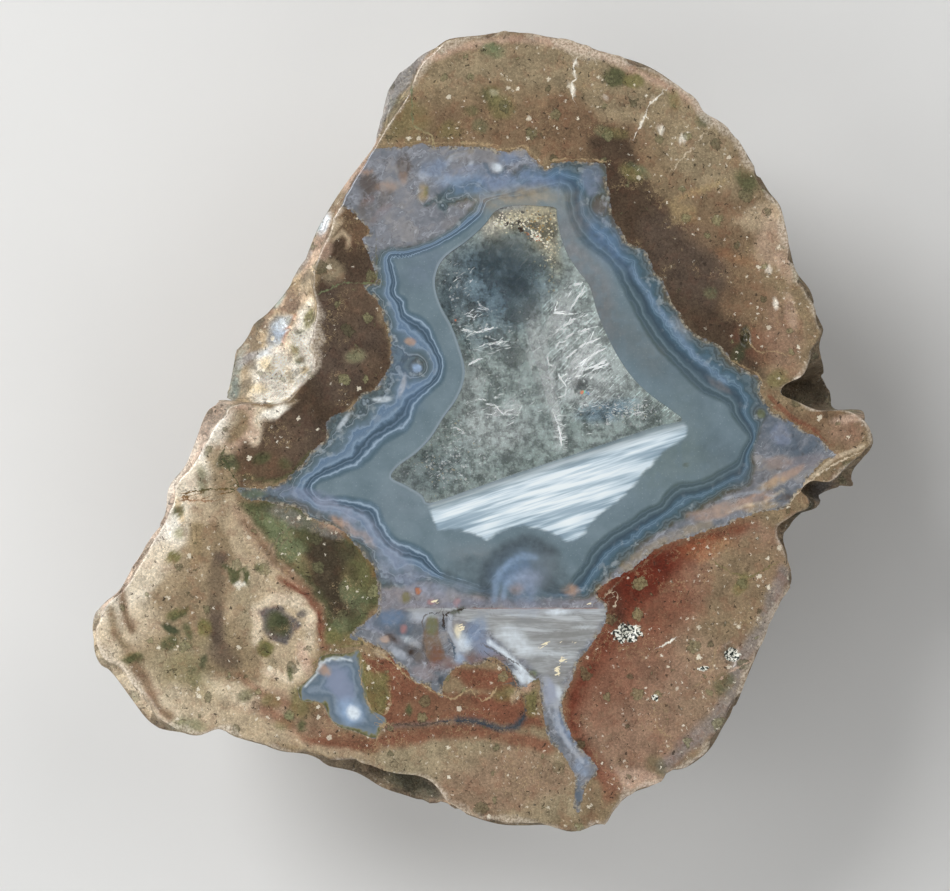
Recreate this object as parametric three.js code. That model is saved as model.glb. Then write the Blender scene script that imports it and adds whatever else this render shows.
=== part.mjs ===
// Half of a thunderegg: a nodule of brown rhyolite, sawn in two and polished, with a star of banded agate
// inside it and clear quartz in the middle of the star. It lies on its knobbly back with the cut face up
// and level. Millimetres, +Z up, +Y towards the rounded end of the nodule. The origin is on the surface
// that it rests on, under the middle of its outline.
import * as THREE from "three";

// Driving sizes
const HEIGHT = 44; // cut face above the surface it rests on
const QUARTZ_DEPTH = 9; // how far the clear quartz reaches under the cut face
const QUARTZ_TAPER = 0.72; // the quartz narrows to this share of its width at its foot
const QUARTZ_GAP = 0.15; // half the gap between the quartz and the hollow that it fills
const KNOB_HEIGHT = 5.6; // the back's large lumps
const WART_HEIGHT = 2.8; // the back's small lumps
const RIB_HEIGHT = 2.2; // and the ribs that run between them
const DRAW_IN = 2.2; // how far the back draws in under the girth, which leaves room for its lumps
const SINK = 1.7; // the back's lumps are worn flat where they would reach lower than the surface

// Where the outlines below are measured from: the hub, inside the quartz, from which every outline can be
// seen, and the foot of the nodule, under its middle.
const HUB = new THREE.Vector2(7, 0);
const FOOT = new THREE.Vector2(-2.5, -3.5);
const MIDDLE = new THREE.Vector2(0.1, -0.1); // middle of the outline, which goes to x = y = 0

// How finely the surfaces are divided
const COLUMNS = 168;
const SHOULDER_ROWS = 4;
const BACK_ROWS = 17;
const NEAR_SMOOTHING = 16; // degrees either side over which the outline is evened out under its edge,
const FAR_SMOOTHING = 60; // and towards the foot
const SMOOTHING_STEPS = 15;

// Edge of the cut face, anticlockwise from the tip of the spur on the right
const CUT_EDGE = [
  [48.9, -0.6], [47.9, 1.3], [46.2, 2.7], [44.6, 2.95], [42.4, 2.9], [41.0, 3.3], [39.8, 3.9],
  [38.4, 4.5], [37.4, 5.1], [37.6, 6.0], [38.9, 6.7], [39.9, 7.2], [40.7, 8.6], [41.2, 10.6],
  [42.4, 13.1], [41.7, 15.4], [40.9, 18.0], [39.2, 20.3], [38.4, 23.2], [37.8, 26.0], [37.2, 28.5],
  [35.8, 30.3], [34.2, 33.0], [32.6, 35.7], [30.4, 38.4], [28.1, 39.9], [27.2, 40.8], [26.6, 41.9],
  [24.6, 43.4], [22.1, 45.2], [19.4, 46.5], [15.2, 47.7], [11.6, 49.0], [7.4, 49.8], [3.2, 50.3],
  [-0.2, 49.8], [-3.4, 49.4], [-4.9, 48.8], [-7.3, 46.6], [-8.9, 43.9], [-10.7, 40.6], [-12.8, 36.9],
  [-14.4, 34.3], [-16.6, 30.7], [-18.7, 26.6], [-20.2, 23.0], [-21.2, 19.2], [-20.6, 15.9],
  [-21.1, 12.5], [-21.4, 11.0], [-20.9, 9.3], [-21.4, 7.8], [-23.4, 5.4], [-24.4, 4.2], [-26.0, 3.6],
  [-30.0, 4.0], [-31.4, 3.8], [-32.5, 2.9], [-34.2, -0.5], [-36.2, -3.9], [-38.4, -6.5],
  [-39.2, -10.0], [-40.8, -13.0], [-42.8, -16.2], [-44.6, -19.2], [-47.2, -21.3], [-48.1, -22.8],
  [-48.4, -24.8], [-48.1, -26.8], [-47.0, -28.4], [-45.4, -29.2], [-43.0, -32.2], [-40.7, -35.3],
  [-37.6, -37.1], [-35.4, -37.6], [-32.8, -36.8], [-30.8, -37.8], [-27.6, -38.7], [-25.0, -39.6],
  [-21.9, -40.0], [-19.4, -40.9], [-15.0, -41.2], [-11.4, -42.4], [-7.4, -42.9], [-5.8, -43.9],
  [-4.2, -46.1], [-1.4, -47.6], [2.2, -48.7], [5.4, -48.9], [8.2, -48.9], [11.2, -49.7],
  [14.2, -48.8], [15.4, -48.6], [16.7, -46.6], [18.8, -44.8], [22.0, -43.6], [23.4, -42.3],
  [25.8, -41.4], [28.3, -39.4], [30.1, -36.4], [31.7, -33.7], [33.2, -30.0], [35.4, -24.9],
  [36.8, -21.8], [38.1, -19.6], [38.7, -18.0], [38.0, -15.3], [36.9, -12.4], [37.2, -11.2],
  [39.6, -9.8], [41.0, -9.1], [41.2, -8.1], [40.4, -7.2], [41.6, -6.0], [44.2, -6.0], [46.0, -4.2],
  [48.3, -2.2],
];

// How far the stone stands out past the cut edge further down, as degrees about the hub and millimetres
const OVERHANG = [
  [-27, 0.3], [-23, 1.3], [-20.5, 2.0], [-16.6, 0.6], [-13.4, 1.5], [-10, 4.0], [-8, 1.8], [-4, 0.4],
  [2, 0.3], [5.5, 3.5], [8.3, 6.4], [9.6, 6.9], [11.1, 6.2], [12.3, 3.7], [14.8, 2.2], [19, 0.8],
  [22, 0.4], [60, 0.4], [95, 0.4], [105, 0.6], [108.6, 1.8], [111, 3.0], [113.5, 3.2], [116, 2.0],
  [119.8, 0.5], [124.6, 0.9], [130.7, 1.4], [137, 1.8], [143, 1.9], [146, 2.8], [150, 4.9],
  [156, 7.0], [161.6, 9.8], [164.6, 10.7], [170, 8.7], [172.4, 7.9], [173.8, 5.3], [174.4, 2.5],
  [178, 1.8], [185, 1.2], [192, 0.9], [198, 1.6], [202.5, 1.0], [205, 0.7], [209, 1.7],
  [213, 1.8], [218, 1.6], [220, 0.6], [230, 0.5], [236, 0.4], [238, 1.2], [242, 2.1], [246.5, 2.9],
  [251.5, 3.8], [253.8, 3.2], [256, 0.6], [270, 0.4], [300, 0.5], [333, 0.3],
];

// Hollows under the cut edge, where the side goes straight down before it comes out: degrees about the
// hub, half width in degrees, and how much deeper the ledge lies
const HOLLOWS = [
  [9, 7, 3.5],
  [-9, 5, 3.0],
  [-21, 5, 3.0],
  [247, 11, 3.0],
];

// Edge of the clear quartz, anticlockwise from its right-hand corner. Its last stretch is the straight
// top of the white waterline layers under it.
const QUARTZ_EDGE = [
  [24.9, 1.7], [23.6, 3.0], [21.0, 4.9], [18.9, 6.9], [17.0, 9.6], [15.5, 12.5], [14.3, 15.4],
  [13.4, 18.5], [11.7, 20.8], [10.2, 23.4], [9.4, 26.5], [9.2, 28.2], [7.0, 28.5], [4.4, 28.6],
  [1.8, 28.0], [0.2, 26.1], [-2.0, 24.1], [-4.6, 22.2], [-5.7, 20.4], [-5.9, 18.4], [-5.2, 16.0],
  [-3.9, 13.6], [-3.0, 11.2], [-2.3, 8.8], [-2.3, 6.8], [-3.2, 4.4], [-4.9, 2.0], [-6.4, -0.4],
  [-8.3, -2.4], [-10.5, -4.0], [-11.4, -5.4], [-9.6, -6.4], [-7.6, -7.6], [-6.6, -8.6],
  [-2.0, -7.1], [4.0, -5.0], [10.0, -3.0], [16.0, -1.0], [22.0, 1.0],
];

const RHYOLITE = new THREE.MeshStandardMaterial({ name: "rhyolite_and_agate", color: 0x8d7359, roughness: 0.55 });
const QUARTZ = new THREE.MeshStandardMaterial({ name: "clear_quartz", color: 0xaab4b4, roughness: 0.1 });

const degrees = THREE.MathUtils.radToDeg;
const radians = THREE.MathUtils.degToRad;
const lerp = THREE.MathUtils.lerp;
const smoothstep = THREE.MathUtils.smoothstep;

// A closed smooth curve through an outline's points.
function curveThrough(outline) {
  const points = outline.map(([x, y]) => new THREE.Vector3(x, y, 0));
  return new THREE.CatmullRomCurve3(points, true, "catmullrom", 0.5);
}

// An outline as direction and distance from the hub, in turning order, so that the distance in any
// direction can be read off between its points.
function aboutHub(outline) {
  const turns = curveThrough(outline)
    .getSpacedPoints(outline.length * 6)
    .map((p) => [Math.atan2(p.y - HUB.y, p.x - HUB.x), Math.hypot(p.x - HUB.x, p.y - HUB.y)]);
  return turns.sort((a, b) => a[0] - b[0]);
}

// Distance in a direction, from a list of direction and distance that closes on itself.
function reach(turns, angle) {
  const full = 2 * Math.PI;
  const wrapped = Math.atan2(Math.sin(angle), Math.cos(angle));
  let next = turns.findIndex(([a]) => a >= wrapped);
  if (next < 0) next = turns.length;
  const before = next === 0 ? [turns.at(-1)[0] - full, turns.at(-1)[1]] : turns[next - 1];
  const after = next === turns.length ? [turns[0][0] + full, turns[0][1]] : turns[next];
  const span = after[0] - before[0] || 1;
  return lerp(before[1], after[1], (wrapped - before[0]) / span);
}

// Value noise: a random number from 0 to 1 at each point of a unit lattice, blended smoothly between.
function latticeValue(x, y, z) {
  let h = Math.imul(x, 374761393) + Math.imul(y, 668265263) + Math.imul(z, 1442695041);
  h = Math.imul(h ^ (h >>> 13), 1274126177);
  return ((h ^ (h >>> 16)) >>> 0) / 4294967296;
}

function noise(x, y, z) {
  const [i, j, k] = [Math.floor(x), Math.floor(y), Math.floor(z)];
  const [u, v, w] = [x - i, y - j, z - k].map((t) => t * t * (3 - 2 * t));
  const along = (dj, dk) => lerp(latticeValue(i, j + dj, k + dk), latticeValue(i + 1, j + dj, k + dk), u);
  return lerp(lerp(along(0, 0), along(1, 0), v), lerp(along(0, 1), along(1, 1), v), w);
}

// How far the back stands out at a point: broad knobs, and sharp-edged warts and ribs between them.
function lumps(p) {
  const knob = noise(p.x / 14, p.y / 14, p.z / 12 + 3) - 0.5;
  const wart = noise(p.x / 6 + 9, p.y / 6, p.z / 5.5) - 0.5;
  const rib = 1 - Math.abs(2 * noise(p.x / 17 + 4, p.y / 17 + 7, p.z / 12) - 1);
  return KNOB_HEIGHT * knob + WART_HEIGHT * wart + RIB_HEIGHT * (rib ** 3 - 0.3);
}

const cutTurns = aboutHub(CUT_EDGE);
const quartzTurns = aboutHub(QUARTZ_EDGE);
const overhangTurns = OVERHANG.map(([deg, mm]) => {
  const a = radians(deg);
  return [Math.atan2(Math.sin(a), Math.cos(a)), mm];
}).sort((a, b) => a[0] - b[0]);

const girth = (angle) => reach(cutTurns, angle) + reach(overhangTurns, angle);

// The girth evened out over the directions either side.
function evenGirth(angle, halfWidth) {
  let sum = 0;
  for (let i = 0; i < SMOOTHING_STEPS; i++)
    sum += girth(angle + radians(halfWidth) * ((2 * i) / (SMOOTHING_STEPS - 1) - 1));
  return sum / SMOOTHING_STEPS;
}

// How hollow the side is under the cut edge in a direction, and how much deeper its ledge lies.
function hollowAt(angle) {
  let share = 0;
  let deeper = 0;
  for (const [deg, halfWidth, depth] of HOLLOWS) {
    const off = degrees(Math.atan2(Math.sin(angle - radians(deg)), Math.cos(angle - radians(deg))));
    const here = 1 - smoothstep(Math.abs(off), halfWidth * 0.4, halfWidth);
    share = Math.max(share, here);
    deeper = Math.max(deeper, here * depth);
  }
  return { share, deeper };
}

// A point of the side between the cut edge, at t = 0, and the girth, at t = 1.
function shoulderPoint(angle, t) {
  const edge = reach(cutTurns, angle);
  const out = reach(overhangTurns, angle);
  const { share, deeper } = hollowAt(angle);
  const depth = 2.2 + 0.85 * out + deeper;
  const r = edge + out * Math.pow(t, 1 + 1.5 * share);
  return new THREE.Vector3(
    HUB.x + r * Math.cos(angle),
    HUB.y + r * Math.sin(angle),
    HEIGHT - depth * Math.pow(t, 1 - 0.45 * share),
  );
}

// A point of the back between the girth, at w = 0, and the foot, at w = 1. The outline evens out and
// draws in from the hub to the foot like a flattened dome.
function backPoint(angle, w) {
  const turn = (w * Math.PI) / 2;
  const top = shoulderPoint(angle, 1).z;
  const near = lerp(girth(angle), evenGirth(angle, NEAR_SMOOTHING), smoothstep(w, 0, 0.3));
  const even = lerp(near, evenGirth(angle, FAR_SMOOTHING), smoothstep(w, 0.15, 0.8));
  const r = even * Math.pow(Math.cos(turn), 0.66) - DRAW_IN * smoothstep(w, 0, 0.16) * (1 - w);
  const centre = HUB.clone().lerp(FOOT, smoothstep(w, 0, 0.9));
  return new THREE.Vector3(
    centre.x + r * Math.cos(angle),
    centre.y + r * Math.sin(angle),
    top * (1 - Math.sin(turn)) - SINK * w,
  );
}

// Moves a point of the back out by its lumps, which fade in below the girth and never stand out past it.
function withLumps(p, angle, w) {
  const turn = (w * Math.PI) / 2;
  const out = lumps(p) * smoothstep(w, 0, 0.2);
  const x = p.x + out * Math.cos(turn) * Math.cos(angle) - HUB.x;
  const y = p.y + out * Math.cos(turn) * Math.sin(angle) - HUB.y;
  const within = Math.min(1, (girth(Math.atan2(y, x)) - 0.15) / Math.hypot(x, y));
  return p.set(HUB.x + x * within, HUB.y + y * within, Math.max(0, p.z - out * Math.sin(turn)));
}

// A closed body from rings of points, each ring once round, with one point before and one after them.
function closedBody(first, rings, last) {
  const count = rings[0].length;
  const points = [first, ...rings.flat(), last];
  const faces = [];
  for (let i = 0; i < count; i++) {
    const j = (i + 1) % count;
    faces.push(0, 1 + i, 1 + j);
    for (let r = 0; r + 1 < rings.length; r++) {
      const a = 1 + r * count;
      const b = a + count;
      faces.push(a + i, b + i, b + j, a + i, b + j, a + j);
    }
    const end = 1 + (rings.length - 1) * count;
    faces.push(end + i, points.length - 1, end + j);
  }
  return new THREE.BufferGeometry().setFromPoints(points).setIndex(faces);
}

const onPlan = (angle, r, z) => new THREE.Vector3(HUB.x + r * Math.cos(angle), HUB.y + r * Math.sin(angle), z);

// Directions of the columns: equal steps along the cut edge, so that its notches keep their shape.
const directions = curveThrough(CUT_EDGE)
  .getSpacedPoints(COLUMNS)
  .slice(0, COLUMNS)
  .map((p) => Math.atan2(p.y - HUB.y, p.x - HUB.x))
  .map((a, i) => (i > COLUMNS / 4 && a < 0 ? a + 2 * Math.PI : a));

// The same columns further down the back, where they turn to equal steps round it.
const directionsAt = (w) =>
  directions.map((a, i) => lerp(a, directions[0] + (2 * Math.PI * i) / COLUMNS, smoothstep(w, 0, 0.6)));

// Ring of the quartz or of its hollow: depth from 0 at the cut face to 1 at the foot of the quartz.
function quartzRing(depth, gap) {
  const narrow = lerp(1, QUARTZ_TAPER, depth ** 1.6);
  return directions.map((angle) => {
    const r = reach(quartzTurns, angle) * narrow;
    const rough = depth > 0 ? 0.8 * (noise(r * Math.cos(angle) + 40, r * Math.sin(angle), 5) - 0.5) : 0;
    return onPlan(angle, r + gap, HEIGHT - QUARTZ_DEPTH * depth + rough + (gap < 0 ? 0 : -2 * gap * depth));
  });
}

function stone() {
  const rings = [quartzRing(1, QUARTZ_GAP), quartzRing(0.45, QUARTZ_GAP), quartzRing(0, QUARTZ_GAP)];
  for (let i = 0; i <= SHOULDER_ROWS; i++)
    rings.push(directions.map((angle) => shoulderPoint(angle, i / SHOULDER_ROWS)));
  for (let i = 1; i < BACK_ROWS; i++) {
    const w = i / BACK_ROWS;
    rings.push(directionsAt(w).map((angle) => withLumps(backPoint(angle, w), angle, w)));
  }
  const hollowFloor = new THREE.Vector3(HUB.x, HUB.y, HEIGHT - QUARTZ_DEPTH - 2 * QUARTZ_GAP);
  const body = closedBody(hollowFloor, rings, new THREE.Vector3(FOOT.x, FOOT.y, 0));
  return new THREE.Mesh(body, RHYOLITE);
}

function quartzCentre() {
  const rings = [quartzRing(0, -QUARTZ_GAP), quartzRing(0.45, -QUARTZ_GAP), quartzRing(1, -QUARTZ_GAP)];
  const top = new THREE.Vector3(HUB.x, HUB.y, HEIGHT);
  const body = closedBody(top, rings, new THREE.Vector3(HUB.x, HUB.y, HEIGHT - QUARTZ_DEPTH));
  return new THREE.Mesh(body, QUARTZ);
}

const thunderegg = new THREE.Group();
for (const [name, mesh] of Object.entries({ thunderegg_half: stone(), quartz_centre: quartzCentre() })) {
  mesh.name = name;
  mesh.position.set(-MIDDLE.x, -MIDDLE.y, 0);
  thunderegg.add(mesh);
}

export default thunderegg;
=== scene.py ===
"""Half of a thunderegg, cut and polished: a brown rhyolite nodule with a star of banded agate in it and
clear quartz in the middle of the star. It lies on its knobbly back and is seen straight from above."""

import math

import bpy
import numpy as np
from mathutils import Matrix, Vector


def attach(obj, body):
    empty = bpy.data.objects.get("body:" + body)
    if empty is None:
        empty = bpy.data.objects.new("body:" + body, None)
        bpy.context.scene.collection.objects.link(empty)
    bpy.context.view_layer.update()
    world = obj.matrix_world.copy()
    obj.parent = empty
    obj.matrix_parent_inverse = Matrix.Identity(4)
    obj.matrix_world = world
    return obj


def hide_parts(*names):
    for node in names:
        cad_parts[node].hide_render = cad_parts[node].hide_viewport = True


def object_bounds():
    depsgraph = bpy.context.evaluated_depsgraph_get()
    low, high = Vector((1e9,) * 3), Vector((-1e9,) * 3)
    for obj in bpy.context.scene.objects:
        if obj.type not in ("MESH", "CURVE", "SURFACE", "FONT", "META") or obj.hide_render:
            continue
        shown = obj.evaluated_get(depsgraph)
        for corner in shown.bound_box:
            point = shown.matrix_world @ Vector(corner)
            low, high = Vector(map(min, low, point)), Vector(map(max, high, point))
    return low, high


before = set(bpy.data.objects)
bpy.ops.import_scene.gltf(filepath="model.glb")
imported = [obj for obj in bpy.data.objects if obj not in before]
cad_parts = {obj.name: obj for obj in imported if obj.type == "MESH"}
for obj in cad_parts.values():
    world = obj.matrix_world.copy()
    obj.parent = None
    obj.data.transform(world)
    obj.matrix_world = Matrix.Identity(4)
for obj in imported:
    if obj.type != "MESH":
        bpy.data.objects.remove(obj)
CAD_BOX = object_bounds()
FACE_HEIGHT = 1000 * CAD_BOX[1].z  # the cut face above the surface that the stone rests on, in mm

bl_info = {
    "name": "Thunderegg half",
    "version": (1, 0, 0),
    "blender": (4, 5, 0),
    "location": "3D View > Sidebar > Thunderegg",
    "description": "A polished half of a thunderegg with banded agate and clear quartz",
    "category": "Add Mesh",
}

MM = 0.001  # in metres
HUB = np.array([7.0, 0.0])  # inside the quartz: all of the cut edge and of the quartz's edge is seen from it
FOOT = np.array([-2.5, -3.5])  # the foot of the nodule
MIDDLE = np.array([0.1, -0.1])  # middle of the outline, which goes to x = y = 0
EDGE_STEPS = 8  # steps of the smooth curve from one point of an edge to the next
PAINTED_DEPTH = 16  # how far down from the cut face the outlines and patches are painted, in mm


def pairs(text):
    """Pairs of numbers from text, such as points in mm."""
    return [tuple(float(number) for number in pair.split(",")) for pair in text.split()]


# Outlines on the cut face: x,y in mm, +Y towards the rounded end.
CUT_EDGE = pairs("""48.9,-.6 47.9,1.3 46.2,2.7 44.6,2.95 42.4,2.9 41,3.3 39.8,3.9 38.4,4.5 37.4,5.1 37.6,6
    38.9,6.7 39.9,7.2 40.7,8.6 41.2,10.6 42.4,13.1 41.7,15.4 40.9,18 39.2,20.3 38.4,23.2 37.8,26 37.2,28.5
    35.8,30.3 34.2,33 32.6,35.7 30.4,38.4 28.1,39.9 27.2,40.8 26.6,41.9 24.6,43.4 22.1,45.2 19.4,46.5
    15.2,47.7 11.6,49 7.4,49.8 3.2,50.3 -.2,49.8 -3.4,49.4 -4.9,48.8 -7.3,46.6 -8.9,43.9 -10.7,40.6
    -12.8,36.9 -14.4,34.3 -16.6,30.7 -18.7,26.6 -20.2,23 -21.2,19.2 -20.6,15.9 -21.1,12.5 -21.4,11
    -20.9,9.3 -21.4,7.8 -23.4,5.4 -24.4,4.2 -26,3.7 -28,3.8 -30,3.8 -31.4,3.4 -32.5,2.6 -34.2,-.5
    -36.2,-3.9 -38.4,-6.5 -39.2,-10 -40.8,-13 -42.8,-16.2 -44.6,-19.2 -47.2,-21.3 -48.1,-22.8 -48.4,-24.8
    -48.1,-26.8 -47,-28.4 -45.4,-29.2 -43,-32.2 -40.7,-35.3 -37.6,-37.1 -35.4,-37.6 -32.8,-36.8
    -30.8,-37.8 -27.6,-38.7 -25,-39.6 -21.9,-40 -19.4,-40.9 -15,-41.2 -11.4,-42.4 -7.4,-42.9 -5.8,-43.9
    -4.2,-46.1 -1.4,-47.6 2.2,-48.7 5.4,-48.9 8.2,-48.9 11.2,-49.7 14.2,-48.8 15.4,-48.6 16.7,-46.6
    18.8,-44.8 22,-43.6 23.4,-42.3 25.8,-41.4 28.3,-39.4 30.1,-36.4 31.7,-33.7 33.2,-30 35.4,-24.9
    36.8,-21.8 38.1,-19.6 38.7,-18 38,-15.3 36.9,-12.4 37.2,-11.2 39.6,-9.8 41,-9.1 41.2,-8.1 40.4,-7.2
    41.6,-6 44.2,-6 46,-4.2 48.3,-2.2""")
# How far the stone stands out past the cut edge further down: degrees about the hub,mm.
OVERHANG = pairs("""-27,.3 -23,1.3 -20.5,2 -16.6,.6 -13.4,1.5 -10,4 -8,1.8 -4,.4 2,.3 5.5,3.5 8.3,6.4
    9.6,6.9 11.1,6.2 12.3,3.7 14.8,2.2 19,.8 22,.4 60,.4 95,.4 105,.6 108.6,1.8 111,3 113.5,3.2 116,2
    119.8,.5 124.6,.9 130.7,1.4 137,1.8 143,1.9 146,2.8 150,4.9 156,7 161.6,9.8 164.6,10.7 170,8.9
    172.4,8.3 173.4,7.2 173.8,5 174.2,3.2 174.9,2.4 176,2.4 178,2.3 185,1.4 192,.9 198,1.6 202.5,1 205,.7
    209,1.7 213,1.8 218,1.6 220,.6 230,.5 236,.4 238,1.2 242,2.1 246.5,2.9 251.5,3.8 253.8,3.2 256,.6
    270,.4 300,.5 333,.3""")
# Hollows under the cut edge: degrees about the hub, half width in degrees, extra depth of the ledge.
HOLLOWS = [(9, 7, 3.5), (-9, 5, 3.0), (-21, 5, 3.0), (247, 11, 3.0)]
QUARTZ_EDGE = pairs("""24.9,1.7 23.6,3 21,4.9 18.9,6.9 17,9.6 15.5,12.5 14.3,15.4 13.4,18.5 11.7,20.8
    10.2,23.4 9.4,26.5 9.2,28.2 7,28.5 4.4,28.6 1.8,28 .2,26.1 -2,24.1 -4.6,22.2 -5.7,20.4 -5.9,18.4
    -5.2,16 -3.9,13.6 -3,11.2 -2.3,8.8 -2.3,6.8 -3.2,4.4 -4.9,2 -6.4,-.4 -8.3,-2.4 -10.5,-4 -11.4,-5.4
    -9.6,-6.4 -7.6,-7.6 -6.6,-8.6 -2,-7.1 4,-5 10,-3 16,-1 22,1""")

# Where the agate meets the rhyolite, in stretches that join into one outline, clockwise from the tongue.
WALL_TOP = pairs("""-13.1,35.7 -11.7,35.8 -9.5,35.9 -7.7,36.3 -5.7,35.9 -2.8,35.9 -.6,35.9 1.2,35.7
    2.1,35.3 3.9,35.4 5.2,35.7 5.9,34.8 7,33.9""")
WALL_RIGHT = pairs("""8,33.1 8.8,33.8 10.4,34 12.4,34 13.9,33.9 15.4,33.6 15.5,31.7 15.9,29.9 16.2,27.2
    17.6,25 18,24 20,23.1 20.9,21.9 21.6,20.1 22.5,19.2 23.3,17.3 23.7,16.4 24.5,15.3 25.6,13.5 26.7,12.4
    28.3,11.6 29.9,10.9 31,9.3 32.5,8.2 34.1,7.3 34.9,6.6 34.6,5.7 35.2,4.2 36.1,2.8""")
WALL_ARM = pairs("""37.9,1.9 39.5,.8 40.8,.1 42.4,-.8 43.3,-1.9 44.3,-2.8 43,-3.1 42.1,-3.9 40.8,-5.2
    39.9,-6.8 39.2,-7.4 38.4,-8.8 37,-9.5 35.2,-9.7 33.7,-10.1 32.1,-10.5 30.3,-11.5 28.1,-12 25.9,-12.9
    23.6,-13.5 21.8,-14.3 20.1,-15.7 18.3,-17.1 16.9,-17.8 14.8,-19.1 14.3,-20.1""")
WALL_STEM = pairs("""15.3,-21.1 15.6,-22 15,-24.2 13.9,-25.8 12.8,-27.4 11.9,-28.5 11.4,-30 10.6,-32
    10,-33.4 9.9,-34.3 10.4,-35.8 11,-37.4 12.1,-39.2 13.3,-40.3 14.3,-41.6 14.3,-42.5 13.3,-43.4
    12.7,-44.5 12.4,-45.9 12,-47.4 11.5,-47 11.4,-45.4 11.6,-43.4 11.2,-42.1 10.4,-40.5 9.2,-39.2
    8.2,-38.1 8,-36.7 7.6,-35.4 7.5,-34.3 7.2,-32.5 7,-30.5 4.9,-31.8 3.9,-30.5 3.2,-29.1 2.1,-28.3
    .8,-27.8 .3,-28.5 -1,-28.9 -2.4,-28.7 -3.7,-29.6 -5,-31.2 -5,-32.9 -5.9,-32.3 -7.1,-31.2 -8.4,-31.2
    -9.5,-29.6 -10.9,-28.5 -11.7,-27.4 -13.3,-26.5 -15.1,-25.8 -16.6,-25.6 -16.2,-24.7 -14.4,-23.3
    -13.1,-22.2 -13,-20.9""")
WALL_LEFT = pairs("""-13.1,-19.1 -13.3,-17.5 -14,-16.2 -15.3,-14.6 -16.4,-13.3 -17.5,-12.1 -18.4,-11.6
    -19.5,-11.2 -21.9,-10.4 -22.6,-9.5 -24,-9 -26.2,-8.8 -27.1,-8.3 -28.9,-8.3 -29.8,-8.1 -30.4,-7.4
    -30.9,-6.6 -29.5,-6.8 -26.9,-6.7 -25.1,-6.1 -24,-5.2 -23.1,-4.3 -22.2,-3.4 -21.5,-2.3 -20.6,-1.6
    -19.5,-.5 -19.5,1.5 -18.2,2.5 -17.1,2.8 -16,3.7 -15.1,5.1 -13.5,5.5 -12.6,6.8 -11.7,8.4 -11.4,10.2
    -11.7,12.2 -12.4,14.7 -13.2,16.7 -14.9,18.5 -13.1,19 -13.6,20.7""")
WALL_TONGUE = pairs("""-14.4,22.8 -15.1,24.3 -14.1,25 -14.2,25.7 -15.1,26.5 -16.5,28 -18.2,29.2 -15.9,33
    -14.4,35.4""")
# Where the fine bands begin, where that is not at the wall.
BANDS_TONGUE = pairs("""-12.9,22.9 -12.2,23.2 -9.5,23.5 -6.8,24.3 -4.6,25.4 -2.8,26.8 -1.5,28.1 -1,28.8
    -1.9,29.1 -3.3,28.8 -4.2,28.3 -4.6,27.4 -5.3,28.1 -5.9,28.8 -7.3,28.5 -5.9,29.7 -5,30.6 -3.3,31.5
    -1.5,31.9 .1,31.7 .8,30.6 2.1,30.3 3,31.2 3.9,33 5.6,33.6""")
BANDS_ARM = pairs("""35.2,1.6 34.4,-.6 33.8,-2.6 34,-4.6 33.5,-6.3 31.5,-7.2 29.7,-8 27.8,-9 25.9,-10.2
    24,-11.3 22.2,-12.3 20.5,-13.4 19,-14.8 17.8,-15.9 16.5,-17.2 15,-18.6 14.2,-19.9 13,-20.7 10,-20.9
    6,-21 2,-20.9 -2,-19.9 -5,-18.9 -8,-18.6 -10.5,-19.2""")
# Where the fine bands end and the even grey chalcedony inside them begins.
CORE_EDGE = pairs("""-11.3,22.1 -9.1,22.3 -6.8,23 -5,23.9 -3.3,24.8 -1.5,26.1 -.1,27.4 .5,28.8 2,29.6
    5,29.8 9.2,31 10.4,30.3 10.6,28.8 11,27 11.7,25.4 12.8,23.9 14.6,22.5 16,21.4 17.1,19.4 18,17.6
    18.9,15.8 19.8,14 20.9,12.2 22.1,10.6 23.6,9.1 25.4,7.3 27.2,5.5 29,4.6 30.8,3.7 31.4,2.2 32.5,.8
    33.4,-.5 32.5,-2.1 31.9,-3.4 30.3,-4.3 28.5,-5.4 26.7,-6.1 24.5,-6.3 23,-7.4 22.1,-8.8 20.3,-9.5
    18.7,-10.8 16,-12.4 13.7,-14.4 12.8,-16.2 11.5,-17.8 10.4,-19.1 8.4,-18.7 7,-17 4.7,-15.4 2.5,-16.2
    1,-17.8 .3,-19.1 -1.5,-18.4 -4.6,-17.5 -5.9,-16.4 -6.8,-15 -8.6,-13.9 -11.1,-13 -12.4,-11 -12.9,-9.5
    -14,-8.6 -16.2,-8.1 -18.2,-7.9 -20.2,-7.9 -21.1,-6.8 -20.4,-5.9 -18.2,-5.2 -16.6,-4.5 -15.5,-4.1
    -14,-3 -12.4,-1.2 -9.7,.4 -8.8,1.7 -8.2,3.5 -6.8,5.1 -5.3,6.4 -4.7,8 -4.8,9.1 -5.5,10.9 -6.2,12.6
    -6.8,13.8 -8,14.7 -9.4,15.3 -9.6,16.7 -10.6,17.5 -10.6,19 -11.1,21""")
# The white waterline layers under the quartz, and the level ones in the foot of the star.
WHITE_LAYERS = pairs("""-6.6,-8.6 -2,-7.1 4,-5 10,-3 16,-1 22,1 24.9,1.7 25.5,1.2 25.7,.1 25,-.8 23.4,-1.9
    22.1,-3 20.1,-5 18.9,-6.6 16.9,-8.6 14.9,-9.9 13.7,-11.2 12.4,-12.8 10.7,-13.6 8.8,-12.6 6.8,-11.9
    4.8,-11.7 2.8,-12 .6,-13.3 -1,-12.6 -2.8,-12.2 -4.6,-12.1 -5.8,-12.1 -6.2,-10.8""")
LEVEL_LAYERS = pairs("""-9.6,-20.6 -2,-20.6 3,-20.6 9,-20.6 15.6,-20.6 15.4,-23 13.5,-26 11.5,-29 10.2,-32
    9.8,-34.5 8.3,-34.2 7.6,-31.5 6.4,-29.6 4.6,-28.4 2.4,-26.4 -.6,-24.2 -4,-23 -8.8,-23""")
LEVEL_TOP = -21.7  # the top of the level layers, as Y in mm
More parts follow.
